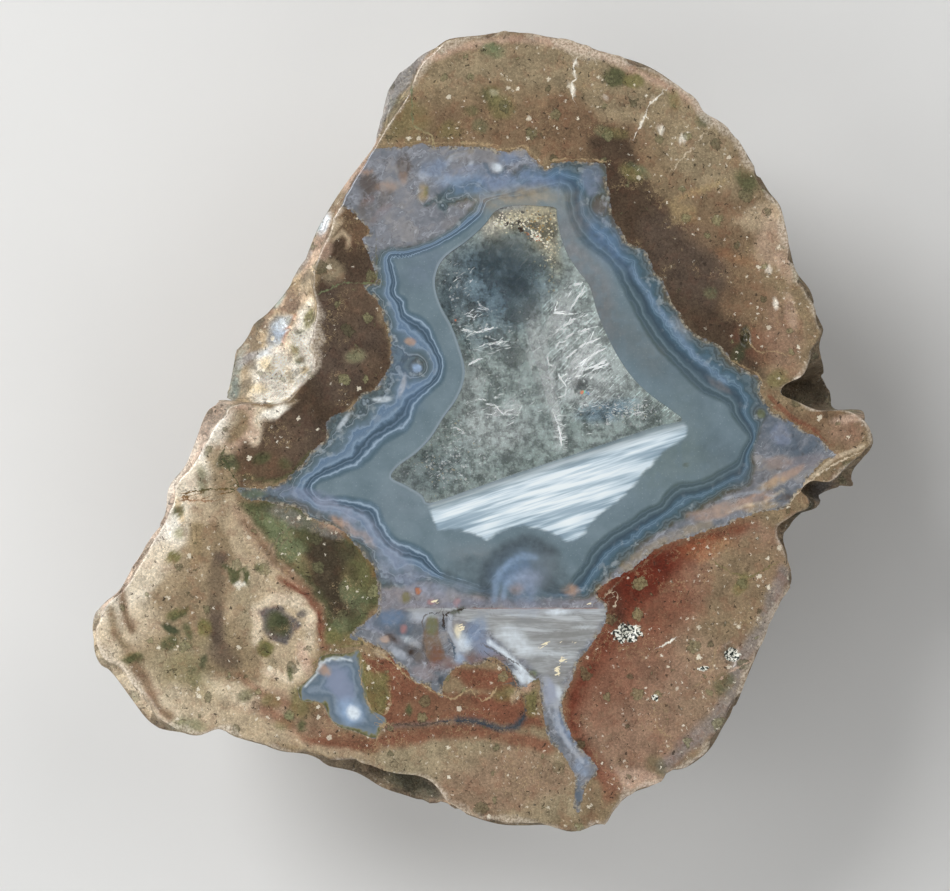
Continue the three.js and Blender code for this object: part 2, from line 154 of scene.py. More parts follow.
NODULE = pairs("""-23.1,-31.8 -22.4,-31.2 -20.8,-29.6 -20.4,-28 -19.1,-27.5 -16.6,-27.4 -15.5,-26.9
    -15.1,-28.3 -14.8,-30.3 -14.4,-32.7 -13.8,-34.5 -12,-35.6 -12.6,-37 -13.4,-38.1 -14.9,-37.6 -16.7,-37
    -18.2,-36.5 -19.3,-35.2 -19.9,-33.8 -21.3,-33.4 -22.6,-33.4""")
# Eyes in the bands: centre and radius. The bands wrap round them.
EYES = [(15.0, 28.6, 1.1), (-8.2, 8.4, 0.7), (34.8, 2.5, 0.5), (34.9, 2.4, 0.3)]


def smoothstep(value, low, high):
    """0 below low, 1 above high, and an even S-curve between."""
    t = np.clip((value - low) / (high - low), 0, 1)
    return t * t * (3 - 2 * t)


def lattice_value(i, j, k):
    """A fixed random number from 0 to 1 for each whole-numbered point: its three numbers mixed in 32 bits."""
    mask = 0xFFFFFFFF
    h = (i * 374761393 + j * 668265263 + k * 1442695041) & mask
    h = ((h ^ (h >> 13)) * 1274126177) & mask
    return (h ^ (h >> 16)) / 4294967296


def noise(x, y, z):
    """Value noise from 0 to 1: random numbers at the eight corners of a unit cell, blended by S-curves."""
    x, y, z = np.broadcast_arrays(x, y, z)
    i, j, k = (np.floor(v).astype(np.int64) for v in (x, y, z))
    u, v, w = (t * t * (3 - 2 * t) for t in (x - i, y - j, z - k))
    total = 0
    for di, fi in ((0, 1 - u), (1, u)):
        for dj, fj in ((0, 1 - v), (1, v)):
            for dk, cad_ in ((0, 1 - w), (1, w)):
                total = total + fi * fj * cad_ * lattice_value(i + di, j + dj, k + dk)
    return total


def closed_curve(points, steps):
    """A closed smooth curve through the points: each stretch is a cubic whose slope at a point is half the
    way between its two neighbours."""
    p = np.array(points, float)
    before, start, end, after = np.roll(p, 1, 0), p, np.roll(p, -1, 0), np.roll(p, -2, 0)
    t = (np.arange(steps) / steps)[None, :, None]
    b, s, e, a = (q[:, None, :] for q in (before, start, end, after))
    curve = 0.5 * (2 * s + (e - b) * t + (2 * b - 5 * s + 4 * e - a) * t**2 + (3 * s - b - 3 * e + a) * t**3)
    return curve.reshape(-1, 2)


def even_steps(curve, count):
    """Points at equal distances along a closed curve."""
    loop = np.vstack([curve, curve[:1]])
    run = np.concatenate([[0], np.cumsum(np.hypot(*np.diff(loop, axis=0).T))])
    at = np.arange(count) * run[-1] / count
    return np.column_stack([np.interp(at, run, loop[:, 0]), np.interp(at, run, loop[:, 1])])


def about_hub(curve):
    """A curve as direction from the hub and distance from it, in turning order."""
    dx, dy = (curve - HUB).T
    angle = np.arctan2(dy, dx)
    order = np.argsort(angle)
    return angle[order], np.hypot(dx, dy)[order]


def reach(turns, angle):
    """Distance from the hub in a direction, read off between a curve's points."""
    return np.interp(angle, *turns, period=2 * math.pi)


def from_hub(angle, distance):
    """X and Y at a distance from the hub in a direction."""
    return HUB[0] + distance * np.cos(angle), HUB[1] + distance * np.sin(angle)


def line_distance(x, y, line):
    """Distance from each point to the nearest of a line's straight stretches, 1 on the left of that stretch
    and -1 on its right, and, for a closed line, which points are inside it: those from which a level ray
    crosses it an odd number of times."""
    best, side, inside = np.full(x.shape, 1e9), np.ones(x.shape), np.zeros(x.shape, bool)
    for (ax, ay), (bx, by) in zip(line[:-1], line[1:]):
        dx, dy, ux, uy = x - ax, y - ay, bx - ax, by - ay
        t = np.clip((dx * ux + dy * uy) / (ux * ux + uy * uy + 1e-12), 0, 1)
        distance = (dx - t * ux) ** 2 + (dy - t * uy) ** 2
        side = np.where(distance < best, np.where(ux * dy < uy * dx, -1, 1), side)
        best = np.minimum(best, distance)
        if ay != by:
            inside ^= ((ay > y) != (by > y)) & (x < ax + dy * ux / uy)
    return np.sqrt(best), side, inside


def depth_inside(x, y, points, steps=3):
    """Distance to a smooth closed outline, positive inside it and negative outside."""
    curve = closed_curve(points, steps)
    distance, _, inside = line_distance(x, y, np.vstack([curve, curve[:1]]))
    return np.where(inside, distance, -distance)


def turned(x, y, degrees, rx, ry):
    """Offsets in a frame turned by an angle, as shares of two radii."""
    c, s = math.cos(math.radians(degrees)), math.sin(math.radians(degrees))
    return (x * c + y * s) / rx, (y * c - x * s) / ry


def lumps(x, y, z, knob_height, wart_height, rib_height):
    """How far the back stands out: broad knobs, small warts and the ribs between them, each from noise."""
    knob = noise(x / 14, y / 14, z / 12 + 3) - 0.5
    wart = noise(x / 6 + 9, y / 6, z / 5.5) - 0.5
    rib = 1 - np.abs(2 * noise(x / 17 + 4, y / 17 + 7, z / 12) - 1)
    return knob_height * knob + wart_height * wart + rib_height * (rib**3 - 0.3)


def facets(x, y, z):
    """Broken facets from 0 to 1, about: each unit cell holds one point at a random place, each place belongs
    to the nearest of these, and its height is that point's own tilted plane."""
    i, j, k = (np.floor(v).astype(np.int64) for v in (x, y, z))
    best, height = np.full(x.shape, 9.0), np.zeros(x.shape)
    for cell in np.ndindex(3, 3, 3):
        a, b, c = (v + step - 1 for v, step in zip((i, j, k), cell))
        chance = [lattice_value(a + 57 * n, b + 31 * n, c) for n in range(6)]
        dx, dy, dz = x - a - chance[0], y - b - chance[1], z - c - chance[2]
        near = dx * dx + dy * dy + dz * dz
        plane = 0.5 + 0.5 * (chance[3] - 0.5) + 1.3 * (dx * (chance[4] - 0.5) + dy * (chance[5] - 0.5))
        height, best = np.where(near < best, plane, height), np.minimum(near, best)
    return np.clip(height, 0, 1)


def roughness_depth(x, y, z):
    """How deep the broken surface is pitted, in mm: 0 or more, from facets and two sizes of noise."""
    coarse = facets(x / 3.3, y / 3.3, z / 3.3 + 5)
    middle = noise(x / 1.4 + 3, y / 1.4, z / 1.4)
    fine = noise(x / 0.7, y / 0.7 + 8, z / 0.7)
    return 1.3 * coarse**2 + 0.36 * middle + 0.24 * fine


class Stone:
    """The stone's surface as a function of direction about the hub and of a share of the way along a
    stretch of its profile."""

    def __init__(self, scene):
        stone, quartz = scene.thunderegg_stone, scene.thunderegg_quartz
        self.height = FACE_HEIGHT
        self.quartz_depth = quartz.quartz_depth / MM
        self.quartz_taper = quartz.quartz_taper
        self.gap = quartz.quartz_gap / MM
        self.lump_heights = [h / MM for h in (stone.knob_height, stone.wart_height, stone.rib_height)]
        self.draw_in = stone.draw_in / MM
        self.sink = stone.sink / MM
        self.cut = about_hub(closed_curve(CUT_EDGE, EDGE_STEPS))
        self.quartz = about_hub(closed_curve(QUARTZ_EDGE, EDGE_STEPS))
        turns = sorted((math.remainder(math.radians(d), 2 * math.pi), mm) for d, mm in OVERHANG)
        self.overhang = tuple(np.array(column) for column in zip(*turns))

    def girth(self, angle):
        """Distance from the hub to where the stone is widest."""
        return reach(self.cut, angle) + reach(self.overhang, angle)

    def even_girth(self, angle, half_width):
        """The girth averaged over the directions either side."""
        steps = np.radians(half_width) * np.linspace(-1, 1, 15)
        return np.mean([self.girth(angle + step) for step in steps], axis=0)

    def directions(self, count):
        """Directions of equal steps along the cut edge."""
        points = even_steps(closed_curve(CUT_EDGE, EDGE_STEPS), count)
        return np.unwrap(np.arctan2(*(points - HUB).T[::-1]))

    def hollow(self, angle):
        """How hollow the side is under the cut edge, and how much deeper its ledge lies."""
        share, deeper = np.zeros_like(angle), np.zeros_like(angle)
        for degrees, half_width, depth in HOLLOWS:
            turn = angle - math.radians(degrees)
            off = np.degrees(np.arctan2(np.sin(turn), np.cos(turn)))
            here = 1 - smoothstep(np.abs(off), half_width * 0.4, half_width)
            share, deeper = np.maximum(share, here), np.maximum(deeper, here * depth)
        return share, deeper

    def quartz_reach(self, angle, depth):
        """Distance from the hub to the quartz's outline, which narrows down to its foot at depth 1."""
        return reach(self.quartz, angle) * (1 + (self.quartz_taper - 1) * depth**1.6)

    def quartz_ring(self, angle, depth, gap=0.0):
        """The quartz's outline at a share of its depth, with a height that turns uneven towards its foot."""
        r = self.quartz_reach(angle, depth)
        x, y = r * np.cos(angle), r * np.sin(angle)
        rough = 0.8 * (noise(x + 40, y, 5.0) - 0.5) * np.minimum(1, 5 * depth)
        z = self.height - self.quartz_depth * depth + rough - 2 * gap * depth
        return *from_hub(angle, r + gap), z

    def face(self, angle, t):
        """The cut face, from the quartz at t = 0 straight out to the cut edge at t = 1."""
        r = (1 - t) * reach(self.quartz, angle) + t * reach(self.cut, angle)
        return *from_hub(angle, r), np.full_like(r, self.height)

    def shoulder(self, angle, t):
        """The side from the cut edge, t = 0, to the girth, t = 1, which lies lower the further out it is."""
        out = reach(self.overhang, angle)
        share, deeper = self.hollow(angle)
        depth = 2.2 + 0.85 * out + deeper
        r = reach(self.cut, angle) + out * t ** (1 + 1.5 * share)
        z = self.height - depth * t ** (1 - 0.45 * share)
        return *from_hub(angle, r), z

    def back(self, angle, w):
        """The back from the girth, w = 0, to the foot, w = 1: a flattened dome whose outline evens out and
        draws in towards the foot, with lumps that fade in under the girth and never stand out past it."""
        turn = w * math.pi / 2
        top = self.shoulder(angle, np.ones_like(angle))[2]
        near = self.even_girth(angle, 16) - self.girth(angle)
        r = self.girth(angle) + near * smoothstep(w, 0, 0.3)
        r = r + (self.even_girth(angle, 60) - r) * smoothstep(w, 0.15, 0.8)
        r = r * np.cos(turn) ** 0.66 - self.draw_in * smoothstep(w, 0, 0.16) * (1 - w)
        centre = HUB + (FOOT - HUB) * smoothstep(w, 0, 0.9)[..., None]
        x, y = centre[..., 0] + r * np.cos(angle), centre[..., 1] + r * np.sin(angle)
        z = top * (1 - np.sin(turn)) - self.sink * w
        fade = smoothstep(w, 0, 0.2)
        out = lumps(x, y, z, *self.lump_heights) * fade
        out = out - 1.3 * roughness_depth(x, y, z) * (0.35 + 0.65 * fade) + 0.3
        dx = x + out * np.cos(turn) * np.cos(angle) - HUB[0]
        dy = y + out * np.cos(turn) * np.sin(angle) - HUB[1]
        within = np.minimum(1, (self.girth(np.arctan2(dy, dx)) - 0.15) / np.hypot(dx, dy))
        return HUB[0] + dx * within, HUB[1] + dy * within, np.maximum(0, z - out * np.sin(turn))


def around(count):
    """The numbers of a closed ring's points, and for each the next one's."""
    return np.arange(count), (np.arange(count) + 1) % count


def ring_faces(count, rings, start=0):
    """Quads between rings of equal count, numbered from start, the first ring first."""
    i, j = around(count)
    rows = start + count * np.arange(rings - 1)[:, None]
    return np.stack([rows + i, rows + count + i, rows + count + j, rows + j], -1).reshape(-1, 4)


def halving_faces(count, upper, lower):
    """Triangles between a ring of count points and the ring of half as many under it."""
    i = np.arange(count // 2)
    a, b, c = upper + 2 * i, upper + (2 * i + 1) % count, upper + (2 * i + 2) % count
    p, q = lower + i, lower + (i + 1) % (count // 2)
    return np.concatenate([np.stack(t, -1) for t in ((a, p, b), (b, p, q), (b, q, c))])


def fan_faces(count, ring, tip, turned=False):
    """Triangles from a ring to one point."""
    i, j = around(count)
    order = (ring + j, ring + i) if turned else (ring + i, ring + j)
    return np.stack([np.full(count, tip), *order], -1)


def mesh_object(name, points, faces, smooth_angle=None):
    """A new object from points in mm about the outlines' zero, and from lists of quads and triangles."""
    mesh = bpy.data.meshes.new(name)
    place = (np.asarray(points) - [MIDDLE[0], MIDDLE[1], 0]) * MM
    mesh.from_pydata(place.tolist(), [], [face for block in faces for face in block.tolist()])
    mesh.shade_smooth()
    if smooth_angle is not None:
        mesh.set_sharp_from_angle(angle=math.radians(smooth_angle))
    piece = bpy.data.objects.new(name, mesh)
    bpy.context.scene.collection.objects.link(piece)
    return piece


def set_field(piece, name, values):
    """Stores one number, or one colour with its strength, for each point of a piece."""
    values = np.asarray(values, np.float32)
    kind = "FLOAT" if values.ndim == 1 else "FLOAT_COLOR"
    field = piece.data.attributes.new(name, kind, "POINT")
    field.data.foreach_set("value" if values.ndim == 1 else "color", values.ravel())


AREA_SIZE = 1.2  # the size by which an area's edge is shifted
VEIN_WIDTH = 1.3  # half the width, in mm, in which a vein gives its colour
# Colours as seen, red, green and blue from 0 to 255.
COLOURS = {
    "tan": (138, 120, 94), "pale tan": (158, 145, 118), "warm brown": (120, 97, 75),
    "dark brown": (73, 59, 47), "plum brown": (87, 74, 64), "black brown": (62, 50, 42),
    "red": (96, 40, 27), "rust": (124, 78, 60), "pink tan": (147, 119, 99), "orange": (176, 112, 74),
    "cream": (188, 170, 142), "pale cream": (228, 212, 186), "chalk": (246, 240, 226),
    "olive": (118, 113, 72), "moss": (80, 84, 56), "dark moss": (62, 68, 48),
    "green grey": (112, 120, 88), "gold": (172, 150, 108), "pink cream": (196, 168, 148),
    "blue green": (140, 168, 168), "sky": (150, 174, 204), "blue": (118, 145, 182),
    "lavender": (132, 142, 164), "pale lavender": (158, 165, 184), "slate": (84, 98, 112),
    "grey": (135, 138, 146), "warm grey": (137, 134, 134), "pale grey": (176, 182, 192),
    "pink grey": (152, 140, 142), "peach": (184, 152, 130), "white": (226, 236, 244),
    "smoke": (108, 102, 98), "deep water": (150, 166, 172), "water": (236, 240, 237),
    "cloud": (251, 253, 252), "druse": (220, 213, 190), "pale druse": (242, 238, 224),
    "coral": (222, 150, 120), "mint": (140, 214, 180), "slate vein": (62, 70, 78),
    "grey green": (222, 235, 232), "dark water": (134, 160, 178), "glint": (248, 236, 204),
    "rose": (178, 124, 120), "sand": (180, 156, 120), "stone grey": (108, 106, 100),
    "bright": (250, 252, 252), "core grey": (99, 113, 120), "honey": (206, 178, 132),
}


def patches(*tables):
    """Reads patches of colour, in the order of painting. A row has a colour and its shapes, and goes on in
    the rows set in under it. Numbers alone are a spot: its middle and radii in mm, strength, turn in degrees,
    and how soft its edge is as a share of the radii. A line has a half width, strength, softness and points,
    a vein only strength and points, and an area strength, softness in mm and points."""
    found = []
    for row in "\n".join(tables).replace("\n    ", " ").splitlines():
        colour, shapes = row.split(":")
        for shape in shapes.split(";"):
            words = shape.split()
            kind = words.pop(0) if words[0].isalpha() else "spot"
            numbers = [float(word) for word in words if "," not in word]
            points = pairs(" ".join(word for word in words if "," in word))
            if kind == "spot":
                *points, strength, turn, soft = numbers + [0.0, 0.35][len(numbers) - 5:]
                points, size = (*points, turn), min(points[2:])
            elif kind == "area":
                (strength, soft), size = numbers, AREA_SIZE
            else:
                size, strength, soft = numbers if kind == "line" else (VEIN_WIDTH, *numbers, 0.5)
            found.append((kind, points, size, colour, strength, soft))
    return found


def as_light(colour):
    """Light values for a named colour, or for colours as seen, from 0 to 255."""
    seen = np.array(COLOURS[colour] if isinstance(colour, str) else colour, float) / 255
    return np.where(seen <= 0.04045, seen / 12.92, ((seen + 0.055) / 1.055) ** 2.4)


def paint(x, y, base, painted):
    """Patches of colour laid over each other in order, their edges shifted by noise of about their own size.
    Returns the colour as light values and how much of it is covered."""
    waves = [[2 * noise(x / size + 20 * seed, y / size + 7 * k, 3.0 * seed) - 1 for k in (0, 1)]
             for size, seed in ((5.0, 1), (2.0, 2), (0.8, 3))]
    colour = np.tile(np.array(COLOURS[base] if base else (0, 0, 0), float), (len(x), 1))
    cover = np.full(len(x), 1.0 if base else 0.0)
    for kind, points, size, name, strength, soft in painted:
        limits = (min(0.45 * size, 2.0), min(0.25 * size, 0.7), min(0.2 * size, 0.25))
        shift = [sum(limit * wave[k] for limit, wave in zip(limits, waves)) for k in (0, 1)]
        px, py = x + shift[0], y + shift[1]
        if kind == "area":
            mask = smoothstep(depth_inside(px, py, points, 1), -soft, soft)
        else:
            if kind == "spot":
                cx, cy, rx, ry, degrees = points
                far = np.hypot(*turned(px - cx, py - cy, degrees, rx, ry))
            else:
                far = line_distance(px, py, points)[0] / size
            mask = 1 - smoothstep(far, 1 - soft, 1 + soft)
        mask = mask * strength
        cover = cover * (1 - mask) + mask
        mask = mask[:, None]
        colour = colour * (1 - mask) + np.array(COLOURS[name], float) * mask
    return as_light(colour / np.maximum(cover, 1e-3)[:, None]), cover


# The rhyolite's colours on the cut face and just outside it.
GROUND = patches(
    # round the top
    """warm brown: 4 38.5 15 3.2 .75; 14 37 8 4 .8 -15
dark brown: 17 33 3 6 .9 20
olive: -9 39 3.5 3 .45
pale tan: 5 46 12 2.6 .5 4; 20 42 7 3.5 .45 -25""",
    # down the right
    """dark brown: area .95 1.6 15,35 20,32 25,27 30,20 34,12 35,7 30,9 24,14 20,21 15,27
plum brown: 26 22 6 4 .8 -50
warm brown: 30 27 5 4 .6 -40; 33 18 3 6 .7 25
rust: 34.5 11.5 3.2 2.2 .45 -30
pink tan: 37.5 12 2.5 5 .8 15
cream: 34.8 27.2 3.4 1.6 .75 15
pink cream: 36 24 2.2 3.4 .55
pale tan: 28 35 5 3 .5 -40
gold: area .5 .3 23.2,29.3 26.4,28.6 27.3,25.9 24.1,26.2; 27 30.5 4 .35 .6 20
orange: 32 22 3.5 .6 .2 -20""",
    # the spur
    """warm brown: 42.5 .5 5 3 .8
pink tan: 45.5 .2 2.6 2 .8
pink cream: 46 2 2.5 .6 .9 10
rust: line .3 .7 .3 36,4.4 39,1.8 42,.3
pale cream: line .25 .6 .3 38.5,-7.5 41,-5.5 44,-3 47.5,-1.6""",
    # lower right
    """pink tan: area .95 1 12,-30 16,-22 24,-14 34,-11 37,-12 38,-19 33,-31 26,-41 17,-45 14,-42 11,-36
pale tan: 27 -29 7 8 .35 -20
pink tan: 20 -34 6 8 .8 -30
tan: 31 -21 4 5 .8 -20; 33 -15 4 2.5 .75
rust: 20 -21 7 5.5 .75 40 .5
red: area .85 1.5 14.2,-20.5 17,-18 23,-14.2 31,-11 33,-11.4 29,-13.4 25,-16.2 21.5,-19.5 18.8,-23.5
    16.4,-27.5 13.6,-31 12.2,-35 12.4,-37.6 14.6,-41 15.6,-43 14.6,-42.4 12.6,-39.8 10.8,-36.5 10.2,-34
    10.9,-31.5 12.8,-28.2 15.4,-24 15.8,-21.4; 20 -17.6 3.8 2.2 .85 35
rust: 18.6 -26.4 4.4 6.4 .5 -30 .8; 15.6 -32.6 2.6 4.4 .4 0 .8
black brown: 16.8 -21.8 1.2 3 .35
orange: 28 -14.4 3 1.5 .4 10
pink cream: 19 -43.5 3.5 1.8 .8 -20
warm grey: line .9 .6 .6 37.4,-17.4 34.8,-23.6 31.9,-29.2 30.4,-33.2 26.8,-38.4 22.6,-41.6
moss: 30 -31.4 1.4 1 .6 30; 21.5 -41.6 2 1.2 .4 -30
rust: 15.6 -43.6 1.2 2.2 .6""",
    # under the star
    """pale tan: area .75 .8 -12,-38 0,-37.5 8,-37 11,-42 12,-48 6,-49 -4,-45 -14,-41.5
pink tan: 2 -43 9 4 .65
pale tan: -8 -41 6 1.8 .6
rust: area .9 .5 -15,-27 -11,-28 -9,-31 -5,-33 0,-32 5,-33 8,-36 6,-36.5 -4,-36 -12,-36.8 -13.5,-34;
    2.6 -30.6 2.6 1.4 .8; -.6 -30.2 2.6 1.2 .9
warm brown: -6 -34.2 5 1.6 .45
olive: 2.9 -32.4 1.6 1.2 .6; 6.2 -33.6 .8 1.6 .8
moss: -9.2 -34.4 .4 .7 .9
cream: -12.6 -27.4 .8 .5 .9 -40; 4.2 -32.8 .4 1.1 .8 -30
rust: line .9 .75 .6 -12,-38 -7,-37.4 -1,-37 4,-38 8,-39;
    line .6 .5 .8 -24,-38 -18,-39.4 -14,-38.8 -10,-37.4
peach: 5.6 -31.6 .6 .8 .8
smoke: line .3 .6 .8 -12.6,-36.6 -9,-36.3 -6,-36.2 -3,-35.8
slate vein: line .38 .9 .8 -3,-35.8 0,-36.1 2.2,-36.9 4.2,-36.6 5.2,-35.4""",
    # the brown lobe on the left
    """dark brown: area 1 .5 -16.5,29 -14.2,25.5 -15,24 -12.8,20 -15,18.6 -12.5,14 -11.3,9.5 -13,5.8
    -17,2.7 -19.5,-.5 -24,-5.2 -30,-6.2 -32.5,-2 -28.5,3.2 -24,4.5 -21,8.5 -20.8,16 -20.5,22
plum brown: -16 13.5 4.4 8 .75; -17.6 6.6 3.4 3.4 .7 30; -22 -1.6 4 3 .6 40
warm brown: -15.4 16.4 2.4 3.4 .3; -16.2 25.6 2.6 2.6 .55 30; -13.4 8.4 1.2 2.4 .3 10;
    -27 -1.5 4.5 3.2 .55 40
dark brown: -17 21 2.4 2.6 .5 20
plum brown: -25 0 4 3 .5
pale tan: -15.7 9.8 1.3 .9 .5 20; -19 20 1.6 1.6 .7
green grey: -15.7 9.8 1.1 .8 .5 20
cream: line .3 .8 .6 -18.6,24.4 -17.6,25.2 -16.8,24.6 -16.9,23.6; -18.3 26 1.2 .5 .8 50
pink cream: -20 22.4 .9 1.8 .7 -20
olive: line .22 .9 .3 -13.1,23.6 -13,20.6 -13,19.4; line .2 .8 .3 -13.4,18.6 -12.2,15.6 -11.5,12
moss: line .25 .6 .3 -29.8,-5.2 -26,-5.9 -24,-5 -21.6,-2.2; -25 -3.6 .9 .7 .7; -31.4 -3.4 1.3 1.1 .8""",
    # the pale end, lower left
    """cream: area 1 .7 -33,2.5 -29,2.2 -31,-3 -32,-6.5 -30,-8.6 -27,-13 -22.5,-18 -20.4,-21 -20,-26
    -22,-31 -24,-34 -20,-39.6 -28,-39 -38,-38 -50,-28 -50,-21 -40,-10
pale cream: area .95 .3 -34.4,.4 -30.4,3.6 -26.2,3.6 -24,4.4 -25.4,2.8 -27.6,1 -28.2,-1.4 -30,.2
    -32.8,-1.6
chalk: -26.2 2.8 1.8 .8 1 30
pink cream: -30.4 1 2.2 2.8 .9 -10 .2
tan: -30.4 1 1.5 2.1 1 -10 .3
chalk: line 2.4 1 .6 -33.4,1.6 -35.8,-2.8 -38.4,-7 -40,-12.4 -43.4,-17.4 -47,-22;
    -41.6 -16 4.8 2.2 1 55 .5
honey: -38 -9.6 .5 2 .7 15
orange: -36.2 -8.2 1.8 .45 .4
pale cream: -36.4 -7 2.6 5 .6 25; -42 -17 4 2.2 .8 35
tan: -33 -4.4 1.6 3.6 .8 12 .3; area .85 .25 -36.2,-11.6 -33.6,-11 -31.4,-12.8 -30.6,-15 -31.8,-17
    -33.8,-17.6 -36,-15
moss: -35.2 -5.8 .7 1.8 .5 10; -27.6 -3 1 .6 .8 10
dark moss: -32 -3.2 1.4 .8 .9 20
gold: area .5 .2 -36.6,-11.2 -35.2,-11.2 -35,-16 -35.8,-17.4 -36.8,-15
tan: -38 -25 8 5.6 .65
olive: -36.4 -28 5 3.4 .35 0 .6
tan: -36.4 -19 3 4.4 .6 0 .6; -34 -11 3 3.6 .4 0 .6
pale tan: -37.5 -30 6 4.5 .85
olive: -36 -31 5 3 .3
pale cream: -44.8 -23 3 3.5 .6
plum brown: line .9 .8 .6 -32.6,-15.4 -33.2,-18.4 -33,-21.6 -33.6,-24.6 -32.4,-28.2
tan: -30.8 -28.6 3 3 .8; -32.4 -19 2 3 .6
plum brown: -32.6 -27.4 1.4 2.6 .5 30 .4
cream: -43 -33 3 2 .7 -50
pale cream: line 1.2 .8 .7 -48,-24 -46.4,-28.2 -42.6,-32.4 -38,-36.4
pale tan: -29.4 -22 1.4 5 .6
warm brown: line .5 .85 .7 -45.2,-19.6 -44.8,-22.5 -43.9,-24.4
tan: line .5 .8 .7 -46.6,-22 -46.2,-25 -44.6,-26.6
warm brown: line .6 .8 .7 -44,-27.8 -42.4,-31 -41.2,-33.6 -39.4,-35.2
pale cream: -36 -34 4.6 1.4 .8 -20 .6; -31.4 -32.4 3.2 1.4 .7 -24 .6
cream: -33 -34.5 6 2 .7 -15; -27 -37.4 4 1 .6 -15
pink tan: line .8 .55 .8 -30.4,-9.6 -28.2,-13 -25,-16.6 -21.8,-19 -20.4,-22 -19.8,-26;
    -25.6 -34.6 3.6 1.6 .6 -25
warm brown: line .3 .7 .8 -29.6,-11 -27,-14.4 -24.6,-17.2 -21.6,-19.4 -20.2,-22.4
rust: line .5 .6 .7 -25.4,-18.2 -22.4,-19.6 -20.6,-21.8 -20,-24 -19.6,-26.6;
    line .4 .4 .8 -30.6,-30.2 -27.6,-32.6 -25.4,-33.6 -23.4,-34.2
red: line .2 .6 .8 -24.8,-18.6 -22,-20.2 -20.6,-22.6 -20.2,-25.4
cream: area .95 .4 -28.2,-20 -25.5,-19.4 -22,-20.4 -20.9,-22.5 -20.9,-26 -21.8,-28.5 -23.3,-31.4 -26,-31
    -28.2,-29.4 -28.7,-26 -29,-22.5
pale cream: line .6 .8 .6 -28.4,-26 -28.2,-21.8 -26,-20.4 -23.4,-20.8 -21.6,-22.4 -21.4,-25.4 -22.6,-29
    -24.4,-30.8 -27,-29.8; -24.5 -20.6 2.6 .8 .7
pink cream: -22.3 -28 .8 2.4 .7 15
smoke: area 1 .2 -27.8,-21.8 -25.4,-21.4 -23.6,-22.4 -22.2,-23.4 -23.6,-24.6 -24.8,-26.2 -26.4,-25.8
    -27.6,-24.4; -22.6 -22.4 .6 .5 .8
moss: -25.6 -23.6 1.6 1.4 .9
dark moss: -25.2 -23.4 .8 .7 .6; -39.2 -24.4 1.3 .6 .9 -30 .2
olive: -27.4 -26.9 1.2 1.1 1 0 .2; -34.8 -24 1 1 1 0 .2
moss: -27.4 -26.9 .6 .6 .5; -24.1 -30 .35 .9 .8; line .28 .9 .3 -32.4,-16.4 -30.9,-17.2 -29.7,-16.8;
    line .35 .9 .3 -31.4,-17.4 -30.9,-18.5 -30.6,-17.7; line .35 .9 .3 -29.4,-17.3 -29.5,-18.6;
    -28 -16.6 .6 .5 .7; -38.2 -22.5 1.6 .6 .9 20 .2; -36.9 -24.6 .5 1 .7 20; -39.4 -26.2 1.2 .9 .8
pale tan: -26.4 -28.7 .6 .7 .9
chalk: -30.2 -18.8 .8 .35 .9
olive: -38.4 -22.4 1.5 .45 .6 20; -44 -27.8 1.2 .5 .7 20; -38.8 -15.9 .8 .4 .8; -38.2 -12.6 .8 .8 .5;
    -38.6 -15.4 .9 .5 .9 0 .2; -26.6 -33.6 1.2 .8 .6 -30; -24.6 -36.4 1.2 .8 .5
moss: -43.7 -28 1.3 .6 .8 10 .2; -38.2 -9.6 .8 .6 .8; -36 -30.6 1 1.2 .35; -29.6 -32.6 1 .6 .5 20
dark moss: -34.8 -28.6 .4 1 .7 -20
warm brown: -22.4 -35.4 2.2 1.4 .5
rust: line .5 .4 .8 -27.4,-34.4 -24.6,-36 -22,-38 -18.6,-39; -17.5 -38.6 5 1.3 .6 -8
olive: -23 -33.8 1.6 1.8 .7
pink tan: -20 -36.5 2 2 .6
moss: -22.6 -36.6 .45 .8 .8 -20
green grey: -24.2 -35.4 .7 .4 .8 -30; -37 -36.4 2.5 1 .5
cream: -18 -40 4 .6 .7 -8""",
    # the mossy hollow under the left arm
    """moss: area .95 .5 -29.8,-8.4 -26,-8.9 -22,-10 -18.6,-11.6 -15.5,-14 -13.3,-17 -13,-21 -16,-24.8
    -19.2,-26 -19.8,-22 -21.5,-19 -24.8,-15.6 -28,-11.4
black brown: -18.8 -17.4 2.6 5.6 .75 25
green grey: -24.4 -13.4 3.6 1.3 .95 -48 .3; -17 -19.1 1 1.4 .7
warm grey: -24.5 -10.6 2.4 1 .6 -25; -19.6 -12.2 2.6 .8 .6 -20
green grey: -26.4 -11 2.2 .8 .7 -30; -15.6 -20.4 1.2 1.9 .7 20; -17.6 -23.6 1.4 1.2 .6 40
gold: -22.2 -16.2 1.4 1 .35 -40
olive: -18.6 -25 1 1.2 .7
orange: line .3 .35 .8 -17.9,-12.2 -16,-13.6 -14.4,-15.6 -13.6,-17.6
peach: line .45 .8 .6 -21.6,-10.2 -20,-10.8 -18.6,-11.8 -17.4,-12
olive: -16 -17.5 2 1.6 .4; -17.4 -25.6 1.6 .9 .6; area .9 .25 -15.2,-27 -13,-29.6 -11.6,-31.6 -11.5,-34
    -12.3,-35 -14,-34 -14.8,-30.6""",
    # white streaks and crusts
